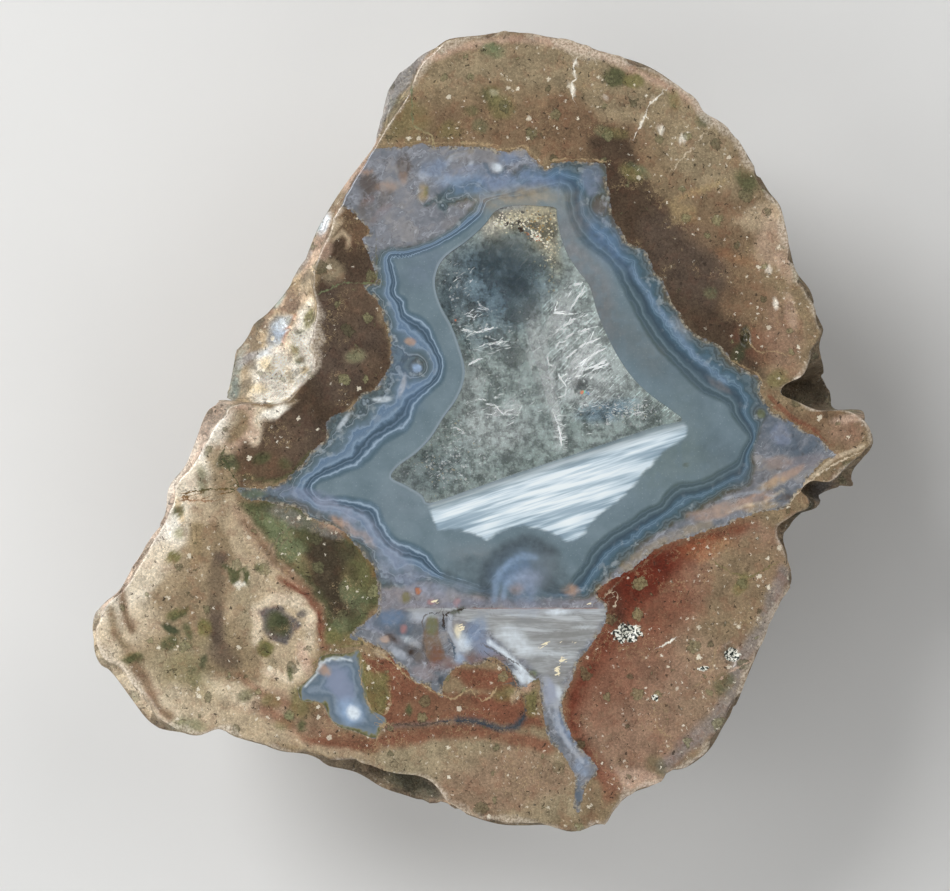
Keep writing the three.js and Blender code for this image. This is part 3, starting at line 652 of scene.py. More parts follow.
    """chalk: line .1 .7 .6 11.8,46.8 11.3,45.6 11.7,44.4 11.2,42.8; 11.2 43.2 .25 .8 1 8; 15.4 42.2 .35
    .25 .9; 25 37 .6 .35 .9 30; 22.3 38 .35 .6 .9; 35.9 20.5 .4 .4 .9; 36.6 16.3 .35 .6 .9; 39.6 7 .6 .4 .8
pale cream: line .1 .7 .6 21.8,42.6 20.8,41 20,39.4 19.4,38.2; 28.6 39 .5 .3 .8
pink cream: line .5 .75 .8 -8,46.4 -3,48.2 3,49.4 10,48.8 17,46.6 24,43 29,39; 38.6 15.4 .8 2.4 .6 15;
    37.6 21 .7 2.4 .6 20
dark moss: 33 12.2 .7 1.4 .8""",
    # green and olive grains
    """green grey: .9 48.2 1.1 .8 .9; 15 37.9 1 .7 .7; 19.7 33 1.4 .7 .7 -30; 2 47.6 1 .8 .6
moss: 1.2 42.3 1.2 1 .6; -1.2 40.4 .9 .7 .6; 16.8 44.8 1.4 1.1 .85 0 .2; 33 31.6 1.5 1 .75 -40
chalk: 1.5 42.6 .5 .4 .7
olive: 18.9 44.4 1.2 .9 .85 0 .2; 18.6 32.6 1.6 .8 .75 -35; 16.8 37.6 1.4 .7 .6; 2.2 41.3 1.3 1.6 .6 20;
    -4 37.8 1.4 1.2 .5; 32.4 -18.6 .8 1.4 .7 -20; 23.8 41.8 .7 1.4 .5; 37 6.8 1.4 1.2 .6
dark moss: 27.6 39 1.2 .9 .6; 32 10 .7 1.6 .75 -20
green grey: -.4 38.4 1 1 .5; 28.5 17.8 .8 .7 .6""")
# Small hollows lined with crystals: middle, radii and turn.
VUGS = [
    (18, -24.9, 2, 1.3, 0), (31.2, -27.6, 1.1, 0.9, 0), (21.6, -33, 0.5, 0.5, 0), (27.6, -29.3, 0.8, 0.4, 0),
]
# Thin veins and crusts.
VEINS = patches(
    """moss: vein 1 -31.2,-6.8 -34.4,-7 -37.4,-7.4
orange: vein .5 -31.5,-7.9 -34,-8.4 -37.4,-8.3
moss: vein 1 -30.6,-6.2 -31.6,-4.4 -32.6,-2.6 -32.2,-1.6
green grey: vein .9 -13.4,18.8 -17.4,18.9 -20.4,17.6;
    vein .9 -8.9,43.8 -8.8,41 -8.7,38.6 -7.4,37.8 -6.3,37.3 -6.2,36.2
plum brown: vein .9 -12.6,-36.4 -10,-36.2 -8,-36.5 -6,-36.1 -4,-35.8
slate vein: vein .9 -4,-35.8 -2,-35.8 0,-36.2 1.5,-36.8 3,-36.9 4.5,-36.4 5.2,-35.3 5.4,-33.8
sand: vein .7 -12.8,36.1 -9.6,36.4 -7.7,36.6 -5.7,36.4 -2.8,36.4 1.2,36.2;
    vein .8 2.1,35.6 3.9,35.7 5.2,36.1 6.1,35.2 7.2,34.3;
    vein .8 8.8,34.2 10.4,34.4 12.4,34.4 15.2,34.1; vein .9 -15.5,-25.5 -12.8,-27.4
    -10.8,-28.8 -9.2,-30.6 -7.4,-31.4 -5.8,-32.4 -3.6,-33.2 -1.6,-31.8 -.2,-33.4 1.2,-32.8 1.9,-31.4
    3.4,-31 4.4,-31.8 3.8,-33.4
smoke: vein .8 -7,-28.6 -7.4,-26 -7.5,-23.4 -7,-22.5 -5.8,-22.4
slate: vein .9 -4.9,-22.6 -4.8,-24.4 -4.4,-25.6 -3.6,-26.4 -3.5,-27.8
black brown: vein .9 -4.4,-22.4 -3.6,-22 -2.4,-21.9
smoke: vein .7 .6,-26.6 2,-27.4 3.8,-28.4 5.4,-29.3 6.8,-30.6
slate vein: vein .7 .4,-28.2 2.2,-28.6 3.8,-30.2 5,-31.8
sand: vein .7 -13.5,-29.4 -11.6,-31.6 -11.4,-33.6 -12.2,-35;
    vein .7 -15.2,-27.4 -15.4,-30 -14.6,-33 -13.4,-35.2 -12.3,-36 -13.2,-38.2
olive: vein .8 -21,-28.6 -19.8,-27.2 -17.4,-26.6 -15.6,-26.4;
    vein .4 -13.3,24.2 -13.2,21.4 -13.3,19.4
warm brown: vein .6 14.6,-20.8 18,-17.6 23,-14.3 30,-11.8 33,-11
rust: vein .7 36.2,3.6 38.6,1.9 41,.8 43.4,-1.2
pale cream: vein .7 38.6,-8.4 40.4,-6.2 43.2,-4.2 46.8,-2.4
sand: vein .6 33.6,11.2 34.4,10.2 36.4,10.4 38.4,9.8;
    vein .6 31,9.4 32.6,8.4 34.4,7.6 35,6.4
chalk: vein 1 11.9,47.2 11.3,45.8 11.7,44.6 11.1,43.4 11.4,42.2;
    vein .9 19.3,37.8 20.2,39.4 20.6,41 21.6,41.8 22.4,42.6
pale cream: vein .6 24.2,33.5 25.8,35.4 27.4,37.2
rust: vein .4 -18.6,27.6 -17,30.6 -14.4,34.6
chalk: vein 1 22.2,-26.6 23.8,-25.7
pale cream: vein .8 16.4,-21.8 16.8,-20.6
olive: vein .8 29.2,-16.2 31.6,-17.6 33.8,-17.8 36.4,-16.2
sand: vein .5 26.8,-31.4 28.6,-29.8 29.2,-27; vein .5 21.4,-34.6 22,-37 23.6,-38
pink cream: vein .8 33.6,-28.4 31.4,-29.4 29.8,-30.6
smoke: vein .5 -27,-15 -25.6,-13 -24,-11.4
tan: vein .5 -24.4,-13 -27,-16 -27.4,-19.6""")
# Over the level layers and the broken ground beside them.
LEVEL_TINTS = patches(
    """pale grey: 6.4 -22.2 7 .35 .6 0 .6
white: 9.6 -22.3 1.4 .4 .8 0 .6
stone grey: 9.4 -25 4 .9 .25 0 .6
white: 4.2 -25.4 2.4 1.3 .6 -30 .5; 8.4 -27.4 3.4 .25 .5 0 .6; 12.8 -24.2 1.4 .25 .5 4 .6
smoke: 9.7 -29.2 1.2 1.6 .3 -10 .5; 10.6 -26.1 1.4 .3 .4 0 .5""",
    # the arch above them
    """slate vein: line .9 .6 .8 .4,-20.4 .2,-18.6 .8,-16.8 2,-15.2 3.8,-13.9 6.2,-13.6 8.4,-14.6;
    9 -19 1.5 1.1 .5 -30 .8
blue: 4.9 -18 3.3 3.2 .45 0 .6
stone grey: 7.6 -17.4 1.6 2.6 .35 0 .8
sky: line .4 .5 .8 1.3,-20.8 1.6,-18.6 2.4,-17 3.6,-15.8 5.2,-15.2 6.6,-15.4;
    line .3 .5 .8 2.5,-20.6 2.8,-19 3.6,-18 5,-17.9
pale lavender: 5.2 -18.8 2 1.6 .5 0 .6
pink grey: 4 -19.6 .8 .7 .7 0 .6
smoke: 3.9 -19.7 .3 .35 .5 0 .6""",
    # the broken ground beside them
    """slate: -11.1 -23 2 1.6 .75 0 .25
blue: -11.3 -22.7 1.3 1 .45 0 .5
slate: -9.7 -24.2 1.1 1 .6 0 .25
rose: -9.9 -24.2 .45 .6 .75 -20; -6.6 -20.9 .5 .4 .6; -3.3 -20.9 .5 .4 .5
pale grey: -7.6 -22.6 1.8 .8 .8 0 .5; line .28 .9 .5 -4,-22.6 -4,-24.6 -3.2,-26.2 -3,-27.8;
    -7.2 -28.8 .3 .3 .9
olive: -9.8 -20.4 .55 .65 .85 10
orange: -8.2 -19.6 .4 .38 1 0 .2
smoke: -5.7 -20.9 .4 .3 .8
warm brown: area .8 .2 -7.2,-22.8 -5.4,-22.7 -5.2,-25 -4.4,-28.4 -6.4,-28.6 -7.2,-26.4
green grey: -6.3 -23.8 .8 1.2 .7
rust: -5.6 -27.6 .8 1.2 .45
glint: -3 -24.6 .4 .8 .85 0 .5
white: -2.2 -25.9 .9 1.1 .75 30 .5
sky: -2.6 -28.2 .8 .8 .6 0 .6
dark moss: -3.2 -22 .9 .35 .9 15
lavender: .6 -26.6 1.6 1 .9 -30 .5
blue: -.8 -24.6 1 1.6 .5 -30 .6
white: line .3 .85 .5 .8,-26 2.6,-27.2 4,-28.4 5.4,-29.6; 5.2 -30.2 1.5 .7 .8 -35
green grey: 6.4 -29.8 .6 .5 .8 -40
black brown: -9 -27.4 .5 .35 .9 30; -11.4 -25.4 1 .4 .85 -40
smoke: -8 -27.9 .7 .5 .95 40
pink cream: -12.2 -25.6 .5 .5 .7
pale grey: -10.6 -27.6 1.2 .7 .8 -40
slate vein: -5.1 -31 .5 .5 .9
pink grey: -7.4 -30.2 1.8 .8 .6 -20
rust: -2 -29.2 2.4 .5 .5""",
    # the foot of the star
    """pale lavender: 8.6 -32 .9 1.6 .8 12 .5
white: 9.6 -32.2 .4 1 .5 12
pale grey: line .3 .7 .5 9.4,-33.4 9.2,-35 10,-37.4 11.2,-39.4 12.6,-41""",
    # the nodule
    """lavender: -17.4 -31.2 1.5 2.6 .95 18 .3
sky: -16.2 -34.4 1.7 1.7 .85 0 .5
white: -15.9 -34.6 .9 1 1 0 .4
peach: -19.6 -29.4 .9 .6 .7 -40
white: line .2 .7 .5 -22.2,-31.6 -20.8,-30 -20.2,-28.6 -18.6,-28 -16.4,-28.2
olive: line .45 .9 .4 -15,-27.6 -14.6,-30 -14.2,-32.6 -13.6,-34.4""")
# Glints of small crystals in the level layers: middle, radii and turn.
GLINTS = [
    (7.7, -26.4, 1.1, 0.5, 35), (9.8, -26.0, 0.9, 0.22, 0), (11.6, -26.1, 0.6, 0.2, 0),
    (10.0, -28.2, 0.8, 0.5, 0), (9.4, -29.6, 0.55, 1.0, -15), (13.2, -21.2, 0.6, 0.2, 0),
    (-5.8, -21.0, 0.8, 0.4, 0), (-2.6, -24.2, 0.5, 0.7, 0),
]
# What lies over the agate's own bands.
AGATE_TINTS = patches(
    # the grey tongue, upper left
    """grey: area .35 .5 -17,29 -15.6,33 -13.5,35.9 -6,36 2,35 4,33.4 0,31.9 -5,30.9 -7.6,28.6 -4.4,28
    -1.4,28.6 -3,26.6 -7,24.2 -12.8,23.2 -15,25.6
plum brown: -9.5 33.2 .9 1.7 .8; -14.6 30.4 1.4 1.8 .8
peach: -9.7 31.8 .6 .9 .4; -12 30.6 1.6 .7 .5
gold: -7.2 30.2 .7 1.1 .7 -15; -2.6 34.9 1.6 .4 .5 15
olive: -6.9 30.4 .3 .6 .8 -15
pale grey: -7 32.2 .8 .5 .8; line .3 .9 .3 -4.4,33.6 -3.8,34.6 -2.2,35 -1.2,34.2 -1.8,33.2
slate: line .3 .8 .3 .2,33.6 .9,32.6 2,32.2 2.8,33.2
white: 1.7 33.4 .8 .5 .9 -20
blue: 2 31.2 5.5 1.2 .6 0 .6; 8 31.5 3 2 .4 0 .6; -5.6 33.2 1.8 1 .4 20; 3.4 34.4 1.6 .8 .5 0 .6
sky: -3 32.2 2.6 .8 .5 10 .6
warm grey: -.6 34.6 2.6 .9 .6; -4 26.8 1.2 .8 .5 30
rust: -15.4 32.8 1.4 .25 .6; -14.6 28.8 1 .5 .5 30
smoke: -12.2 29 1.4 1.2 .7 40; -14.6 27.4 1.6 1 .75 -30
peach: -15 32.6 1.2 .35 .8
pink grey: -12.6 27.6 1.8 .5 .6 40
lavender: -2.4 33 2.4 .4 .5 10""",
    # under the tongue, and the top of the star
    """slate: -8 20.5 3 3 .25 0 .7
lavender: -6.6 21 2.4 2.4 .22 0 .7
sand: 4.5 29.9 4.8 1 .3 0 .8
lavender: 6 32 2.2 1.2 .35; 13.8 31.8 1.4 1.6 .6
warm grey: 10.5 25 1.5 3.5 .5 15 .6; 13 19.6 2 6 .55 28 .6
smoke: 15 28.6 .95 1 .75 0 .2
pale grey: 15.5 28.8 .3 .3 .7""",
    # eyes and dots in the left lobe
    """blue: -10 8.6 2.2 4.6 .25 0 .6
sky: -8.2 8.4 .62 .62 .95 0 .25
peach: -9 11.7 .75 .45 .8 -15
pale grey: -10.2 6.2 .4 1.4 .9 -20
white: -12.6 4.3 1.1 .4 .7 5; -17.2 1.6 1.4 .35 .6 50
smoke: line .3 .5 .6 -12.8,14.6 -12,12.4 -11.4,9.6""",
    # the left arm
    """lavender: -23 -7.6 5 1 .65 -8
pale lavender: -18.5 -9.6 3.5 1 .6 -20
peach: -17.2 -11.6 2.2 .6 .9 -32; -14.4 -13.2 1.4 .5 .6 -45
pale lavender: -15 -12 2.8 1.6 .45 -30
green grey: -28.6 -7.4 1.6 .7 .6
smoke: line .5 .6 .6 -24,-8.6 -21.6,-9.6 -19.6,-11""",
    # the broken ground under the star
    """pale lavender: -11 -16 2.4 3 .55 30
lavender: -8.6 -18.4 3 1.4 .5 -15
pink grey: area .45 .6 -13.2,-19.5 -8,-19 -2,-20 8,-20.8 14.5,-20.4 14.6,-21.8 -2,-22 -10,-22.4 -13,-21.8;
    -11.6 -24.8 1.8 .8 .5 -40
peach: 11.2 -19.5 1.1 .7 .8 -10 .5; 0 -20.6 1.6 .4 .3
plum brown: -8 -27.6 2.4 1.4 .5 -30
rust: -5.4 -28.8 2 1.2 .5; .4 -27.9 2.6 .9 .6
lavender: -13 -23 1.4 1.4 .5
white: -9 -25.8 1.6 .5 .5 -35
smoke: -13.6 -17.6 .6 2.6 .5 15""",
    # the right arm
    """slate: 38 -.6 4.6 3.2 .7 -30 .5
lavender: 37.2 -.3 1.4 1.4 .7 0 .15
slate: 40.6 -1.6 2.4 1.4 .5 -25
pink grey: 40 -3.6 3.2 .8 .5 8
peach: 36.8 -3.7 1.8 .9 .45 10
smoke: 34 -6 3 1.6 .4 20 .6
green grey: 34.8 2.4 .5 .5 .8
peach: 37.6 -5.4 3 .6 .7 25
honey: 36 -6.4 2.2 .6 .4 20
peach: 33.6 -8.4 2.6 .8 .75 14
honey: 34.6 -9.2 2 .6 .5 10
pale cream: line .2 .5 .7 30.4,-9.8 32.6,-9 35,-8.6 37.6,-7
pale grey: line .2 .5 .3 30,-8.2 32.6,-7.4 35,-7.2 36.4,-7.9 36.2,-8.8
peach: 28.6 -9.6 2.8 .8 .6 12
plum brown: 38 -8 .8 .5 .8
gold: line .6 .45 .6 18,-16.6 21,-14.2 24.6,-12.4 28,-11.2
moss: 25.4 -3.9 .35 .3 .6""",
    # the core's own shades
    """honey: 4.4 29.2 5.4 1.3 .26 0 .7
pale lavender: 4.4 31.2 4.4 .8 .3 0 .6
blue: 15.6 24 2 4 .4 25 .6
warm grey: 12.4 27.6 1.4 2.4 .4 20 .6
stone grey: 19.4 11.6 2 5.4 .35 34 .7
smoke: 15 14.8 1.4 4.4 .35 26 .7
sky: line .35 .35 .9 18.6,20.6 21.4,16.4 24.4,12.4 27.4,8.8 30.2,6.6
pale grey: 24.9 13.2 .5 1.8 .4 38 .7; -9 -7.6 3 3 .12 0 .8
warm grey: 29.4 6.2 1.6 .5 .5 -30 .5; -1 -15 3 1.4 .3 0 .8
slate: 29.4 -2.6 2.4 3.6 .35 0 .7; 25.2 5.2 2.4 3.4 .25 40 .7
green grey: 24 -2 5 5 .22 0 .8
blue: 5 -18.4 1.6 2.4 .4 0 .6
pink grey: 4.8 -19 .7 .9 .6
lavender: 1.6 -20 2.2 .8 .5""",
    # the arch under the white layers
    """core grey: area .85 .6 -6,-19 -5,-16.6 -1.6,-14.8 .4,-15.6 2.2,-13.6 5,-12.6 8,-13.4 10.2,-15.8
    11.6,-18.6 10,-20.4 4,-21 -2,-20.4
lavender: 2 -21.1 12 .5 .4 0 .5
pale lavender: -5.4 -19.4 3.4 1 .5 0 .6""",
    # the foot of the star
    """blue: 10.4 -36.6 1 2.2 .5 25
slate: 9.4 -33.4 .8 1.2 .6
sky: 12.4 -41.4 1.2 1.4 .45 30
slate: 12 -45 .5 1.6 .85
pale grey: line .25 .5 .3 7.2,-31 8,-33.5 9,-36 10.4,-38.6""")
# The quartz's bed, seen through it.
BED = patches(
    """dark water: 3.2 20.8 6.2 5.4 1 0 .5
deep water: 5 17 3.4 3.4 .6 30 .6; -2.6 20 2.6 3.6 .6 0 .6; 1.8 12.1 1.7 1.5 .8 0 .7;
    4.1 9.9 2.2 2 .8 0 .7
cloud: 11.4 13 3.4 6.5 .9 15 .6; 15 8 3 4 .7 40 .6; 8 6 3 6 .6 8 .6
water: -1 7 2.4 3.5 .6 0 .6
deep water: -3 0 4 3 .5 30 .6; 12.2 6.1 1.4 1.2 .8 0 .7; 15.6 3 2.6 1.4 .8 20 .6
water: 3 0 3 2.5 .6 15 .6
deep water: 9.1 14.9 1.2 1.4 .7 0 .7
cloud: line 1.5 .9 .6 -6.4,-7.6 4,-4.2 14,-.8 24,2.4
pale druse: 5 27.4 5 1.8 .9 0 .5""")
# The clouds in the quartz: their colours and how thick they are.
CLOUDS = patches(
    """grey green: 7 5 22 34 .66 0 .1
dark water: 1.4 18.6 5.4 5.2 .7 20 .6
bright: 11.6 11.5 3.4 7.5 .38 16 .6; area .35 .2 4.8,16 6.2,9.2 7.5,4.2 8.8,2 9.8,-2.2 10.6,-.8 10.4,4.2
    8.6,10 6.6,16; -1.4 5 2 5 .3 0 .6; 14 7 3 4 .4 40 .6; 2 .5 4.4 2.4 .35 15 .6
deep water: -3.4 17.6 2 4.4 .6 0 .6; -6 -4 4 2.6 .35 20 .6
dark water: 15.4 3 3 1.3 .7 12 .5
druse: 5.2 27.4 4.8 1.5 1; 8 25.4 1.4 2.2 .9 0 .5; 8.7 22.4 1 2.4 .6 8 .6
pale druse: 1.6 26.4 1.8 1.2 .8 40 .5
pale grey: 3.4 28.2 2 .5 .7
black brown: 4.6 26.4 .5 .5 .9; 3 26.6 .35 .3 .9
smoke: 6.4 26.8 .3 .3 .9""")
# Where they are thinner: middle and radii in mm, and by what share.
THIN = [
    (3.2, 21.4, 5.0, 4.0, 0.72), (1.8, 12.1, 1.7, 1.5, 0.6), (4.1, 9.9, 2.2, 2.0, 0.65),
    (12.2, 6.1, 1.3, 1.1, 0.8), (5.0, 16.6, 3.0, 3.4, 0.65), (9.1, 14.9, 1.0, 1.2, 0.5),
    (-0.6, 15.6, 2.0, 1.6, 0.4),
]
# The side and back, away from the cut edge.
RIND = patches("warm brown: 0 0 60 60 .4")
# The broken skin just outside the cut edge, over the rhyolite's colours.
SKIN = patches(
    """sand: area .9 .6 -19,21 -22,28 -26,24 -29,17 -36,10 -38,4 -33,3 -25,3 -21,9
pink cream: -21.2 23 1 4 .8 -22
cream: -22 19 .8 2.4 .8 -22
pink tan: -24.6 16.6 2 1.6 .8 -30
blue green: -25.8 17.4 .8 1.6 .8 -30
warm brown: -27.4 15.4 .9 1.8 .95 -20
dark moss: -28.4 14.6 .7 1.2 .8 -20
sky: -25.6 12.6 1.5 1.9 .8 -10 .5
white: -25 13.8 1.2 .8 .8 20
tan: -29.8 11.8 2 1.2 .9 35
warm grey: -31.6 9.8 1.2 1 .9 40
pale cream: line .6 1 .5 -25.4,6.4 -25,9.2 -24.2,11.8 -22.8,14.8 -21.4,16.4
orange: line .22 .7 .5 -26,9.6 -25,12.2 -23.6,14.8
chalk: -21.6 10.8 1.8 5 1 4; -26.4 7.6 4 3.4 1 20; -24 6.4 4 3 1 20; -25.4 4.6 3.6 1.2 1
tan: -29.9 7 .9 1.5 .8 10
gold: -27.4 8.8 .8 1.1 .6 30; -28.4 5.8 1.3 .6 .6; -22.2 7.9 .6 .4 .8; -24.4 7.4 .4 1.4 .5 20;
    -24.6 4.2 .6 .4 .8
olive: -21.6 14.4 .7 1.3 .95 -15; -23.4 10.6 .5 .7 .9 30; -26.6 3.6 .8 .5 .8
moss: -22.9 12.8 .5 .5 .8; -22.9 9.3 .6 .5 .8
blue green: line .8 .8 .5 -30.6,11 -31.8,8.4 -31.6,5.4 -33,4.2; -21.5 27 1.2 2.2 .75 -20; -32 3 1 .8 .7
white: line .5 .8 .5 -27.2,10.6 -29.6,10 -31,9; -19.9 26.6 .6 1.6 .8 -25
warm grey: -23.2 21.4 .8 2.6 .7 -30
pink cream: line 1.6 .8 .5 -33.2,3.6 -35.4,.4 -38,-3.6 -40.4,-8.6 -43.6,-15 -47.4,-20.4
chalk: line .7 .7 .6 -36.4,-1 -39.6,-7 -43.4,-14.4 -48,-20
pale grey: area .5 .3 -13.4,36.7 -10.4,41.6 -6.2,48.6 -8.4,48.4 -12,44 -15.4,37.6
pink cream: line .6 .9 .5 -13.4,36.4 -15,33.6 -17,30.8
green grey: 46 5 3 3 .6
dark moss: 41.5 5.4 2.4 1.2 .9 20; 39.4 -9 2 1.6 .8 30; -9 -44 4 1.6 .85 -15
slate: 43 -7.4 2 1.2 .6 20
pale tan: -48 -30 4 3 .6""")
HALF_THICKNESS = 0.02  # of the flakes at their middle and of the clouds, in mm
# Clusters of flakes: middle, spread in mm, turn, how many, size, share of the depth from and to, colour.
FLAKES = [
    (-1.0, 15.0, 2.4, 1.0, 20, 26, (0.15, 0.6), (0.015, 0.12), "bright"),
    (-1.2, 12.8, 2.6, 1.0, 8, 34, (0.15, 0.8), (0.015, 0.12), "bright"),
    (1.2, 11.2, 2.6, 0.8, 8, 30, (0.15, 0.7), (0.015, 0.12), "bright"),
    (11.4, 17.6, 1.8, 1.6, 50, 26, (0.15, 0.8), (0.015, 0.15), "bright"),
    (12.6, 8.0, 3.6, 1.4, 32, 36, (0.2, 1.1), (0.012, 0.15), "bright"),
    (13.6, 10.4, 3.6, 1.8, 36, 26, (0.2, 1.0), (0.015, 0.2), "bright"),
    (11.4, 12.8, 4.0, 2.0, 30, 22, (0.2, 0.9), (0.015, 0.25), "bright"),
    (3.0, 3.2, 3.6, 1.6, 10, 50, (0.15, 0.7), (0.02, 0.2), "bright"),
    (9.8, 0.4, 0.7, 3.6, 6, 60, (0.12, 0.6), (0.012, 0.15), "bright"),
    (18.0, 3.2, 4.4, 1.4, 22, 90, (0.08, 0.5), (0.012, 0.2), "bright"),
    (13.4, 3.6, 3.0, 1.6, 10, 60, (0.1, 0.5), (0.012, 0.2), "bright"),
    (-4.0, -2.6, 4.6, 4.2, 20, 150, (0.08, 0.4), (0.012, 0.25), "bright"),
    (-2.6, 19.6, 2.0, 3.0, 40, 60, (0.1, 0.5), (0.012, 0.2), "bright"),
    (4.0, 8.0, 6.0, 9.0, 30, 90, (0.1, 0.5), (0.03, 0.4), "bright"),
    (5.2, 27.0, 3.6, 1.2, 0, 120, (0.07, 0.22), (0.02, 0.06), "druse"),
    (6.9, 25.8, 2.4, 1.8, -35, 60, (0.07, 0.22), (0.02, 0.06), "gold"),
    (5.4, 26.6, 3.4, 1.4, -10, 50, (0.08, 0.26), (0.02, 0.06), "stone grey"),
    (8.4, 23.4, 1.0, 2.6, 8, 50, (0.07, 0.2), (0.02, 0.06), "druse"),
    (3.0, 26.6, 2.8, 1.0, 10, 70, (0.07, 0.22), (0.015, 0.05), "pale druse"),
    (6.8, 24.8, 2.4, 0.5, -38, 46, (0.08, 0.24), (0.013, 0.04), "pale druse"),
    (3.0, 26.2, 0.3, 0.3, 0, 4, (0.12, 0.26), (0.0135, 0.02), "black brown"),
    (5.0, 25.7, 0.4, 0.3, 0, 6, (0.15, 0.34), (0.0135, 0.02), "black brown"),
    (6.2, 24.3, 0.3, 0.2, 0, 4, (0.12, 0.24), (0.0135, 0.02), "black brown"),
    (5.8, 24.9, 1.2, 0.4, -35, 10, (0.1, 0.2), (0.013, 0.02), "orange"),
    # The coral, mint and sky chips here are a painted rainbow glint in a crack of the quartz.
    (12.5, 5.2, 0.1, 0.5, 80, 2, (0.2, 0.3), (0.0135, 0.02), "coral"),
    (12.7, 5.2, 0.1, 0.4, 80, 2, (0.2, 0.3), (0.0135, 0.02), "mint"),
    (12.9, 5.2, 0.1, 0.4, 80, 2, (0.2, 0.3), (0.0135, 0.02), "sky"),
    (-3.4, 14.2, 0.15, 0.15, 0, 3, (0.12, 0.2), (0.0135, 0.02), "coral"),
]
# Bright cracks: points, how many splinters, their size, how far they stray, in mm.
SPLINTERS = [
    ([(9.1, 15.1), (10.4, 15.0), (11.9, 15.1)], 36, (0.1, 0.45), 0.08),
    ([(8.1, 9.6), (8.3, 8.7), (9.1, 8.3), (9.7, 7.1), (10.6, 5.8), (10.2, 4.8), (9.6, 4.6)],
     70, (0.1, 0.4), 0.06),
    ([(0, 3.9), (1.6, 3.6), (2.5, 2.5), (4.4, 2.4), (5.0, 3.6)], 60, (0.1, 0.4), 0.08),
    ([(-2.5, 13.0), (-0.6, 12.7), (1.25, 13.3)], 40, (0.1, 0.5), 0.15),
    ([(-1.6, 8.8), (-0.3, 9.4)], 24, (0.1, 0.5), 0.1),
    ([(-0.6, 10.8), (0.9, 11.4), (2.5, 11.4)], 26, (0.08, 0.35), 0.08),
    ([(10.8, 6.9), (13.2, 8.2), (15.6, 9.2)], 30, (0.15, 0.7), 0.12),
    ([(12.0, 6.9), (14.2, 8.2), (15.6, 8.7)], 26, (0.15, 0.6), 0.1),
    ([(12.4, 8.9), (14.2, 10.2), (15.2, 10.6)], 24, (0.15, 0.6), 0.1),
    ([(9.2, 11.0), (11.4, 12.6), (13.4, 13.2)], 22, (0.15, 0.6), 0.12),
    ([(11.0, 15.6), (12.0, 17.2), (12.9, 18.6)], 34, (0.12, 0.5), 0.12),
    ([(9.4, 16.4), (9.0, 15.2), (10.4, 15.3)], 24, (0.1, 0.4), 0.08),
    ([(10.8, 18.4), (12.4, 18.9)], 20, (0.1, 0.4), 0.15),
    ([(9.0, 12.6), (11.2, 14.2), (13.0, 15.0)], 30, (0.12, 0.6), 0.15),
    ([(10.4, 9.6), (12.8, 11.2), (14.6, 12.0)], 30, (0.12, 0.6), 0.15),
    ([(11.2, 8.0), (12.4, 8.6), (13.0, 9.4), (12.2, 8.9)], 26, (0.1, 0.45), 0.1),
    ([(-0.4, 16.2), (1.0, 15.2)], 20, (0.1, 0.35), 0.2),
    ([(-2.6, 3.6), (-1.0, 4.4), (0.6, 4.2)], 26, (0.08, 0.35), 0.2),
    ([(-3.6, 0.8), (-2.2, 0.2)], 22, (0.08, 0.35), 0.25),
    ([(8.8, 3.2), (9.6, 0.6), (9.9, -1.6)], 50, (0.1, 0.45), 0.12),
    ([(13.2, 4.2), (16, 3.2), (18.6, 2.6), (20.6, 2.8)], 40, (0.08, 0.35), 0.3),
]
# Healed cracks: the points of their upper edge in mm, their depth and lean.
VEILS = [
    ([(4.7, 15), (6.4, 9), (8.6, 3), (10, -2.3)], 2.4, 0.5),
    ([(8, 4.4), (9.2, 6.4), (8.8, 7.4), (10.6, 10.2)], 1.2, 0.5),
    ([(0, 3.6), (1.6, 2.2), (4.2, 2.4), (4.8, 4.0)], 1.0, 0.8),
    ([(11, 4.4), (13.2, 8.4), (15.4, 12)], 2.0, 1.0),
    ([(8.6, 10.5), (10.6, 14.5), (11.6, 18.4)], 1.6, 1.2),
]
# Clusters of specks: middle, spread in mm, how many, colour.
SPECKS = [
    (-5.4, -2.6, 5.0, 5.6, 420, "bright"), (-5.0, -2.6, 5.0, 5.6, 110, "druse"),
    (18.4, 2.8, 4.8, 2.0, 260, "bright"), (18.4, 2.8, 4.4, 1.8, 40, "druse"),
    (2, 7, 5, 9, 160, "bright"), (11.6, 10, 4, 8, 160, "bright"), (-3.4, 18, 1.8, 5, 70, "bright"),
    (-2, 8, 1.6, 8, 90, "bright"), (8.4, 20.4, 1.6, 4, 60, "druse"),
]
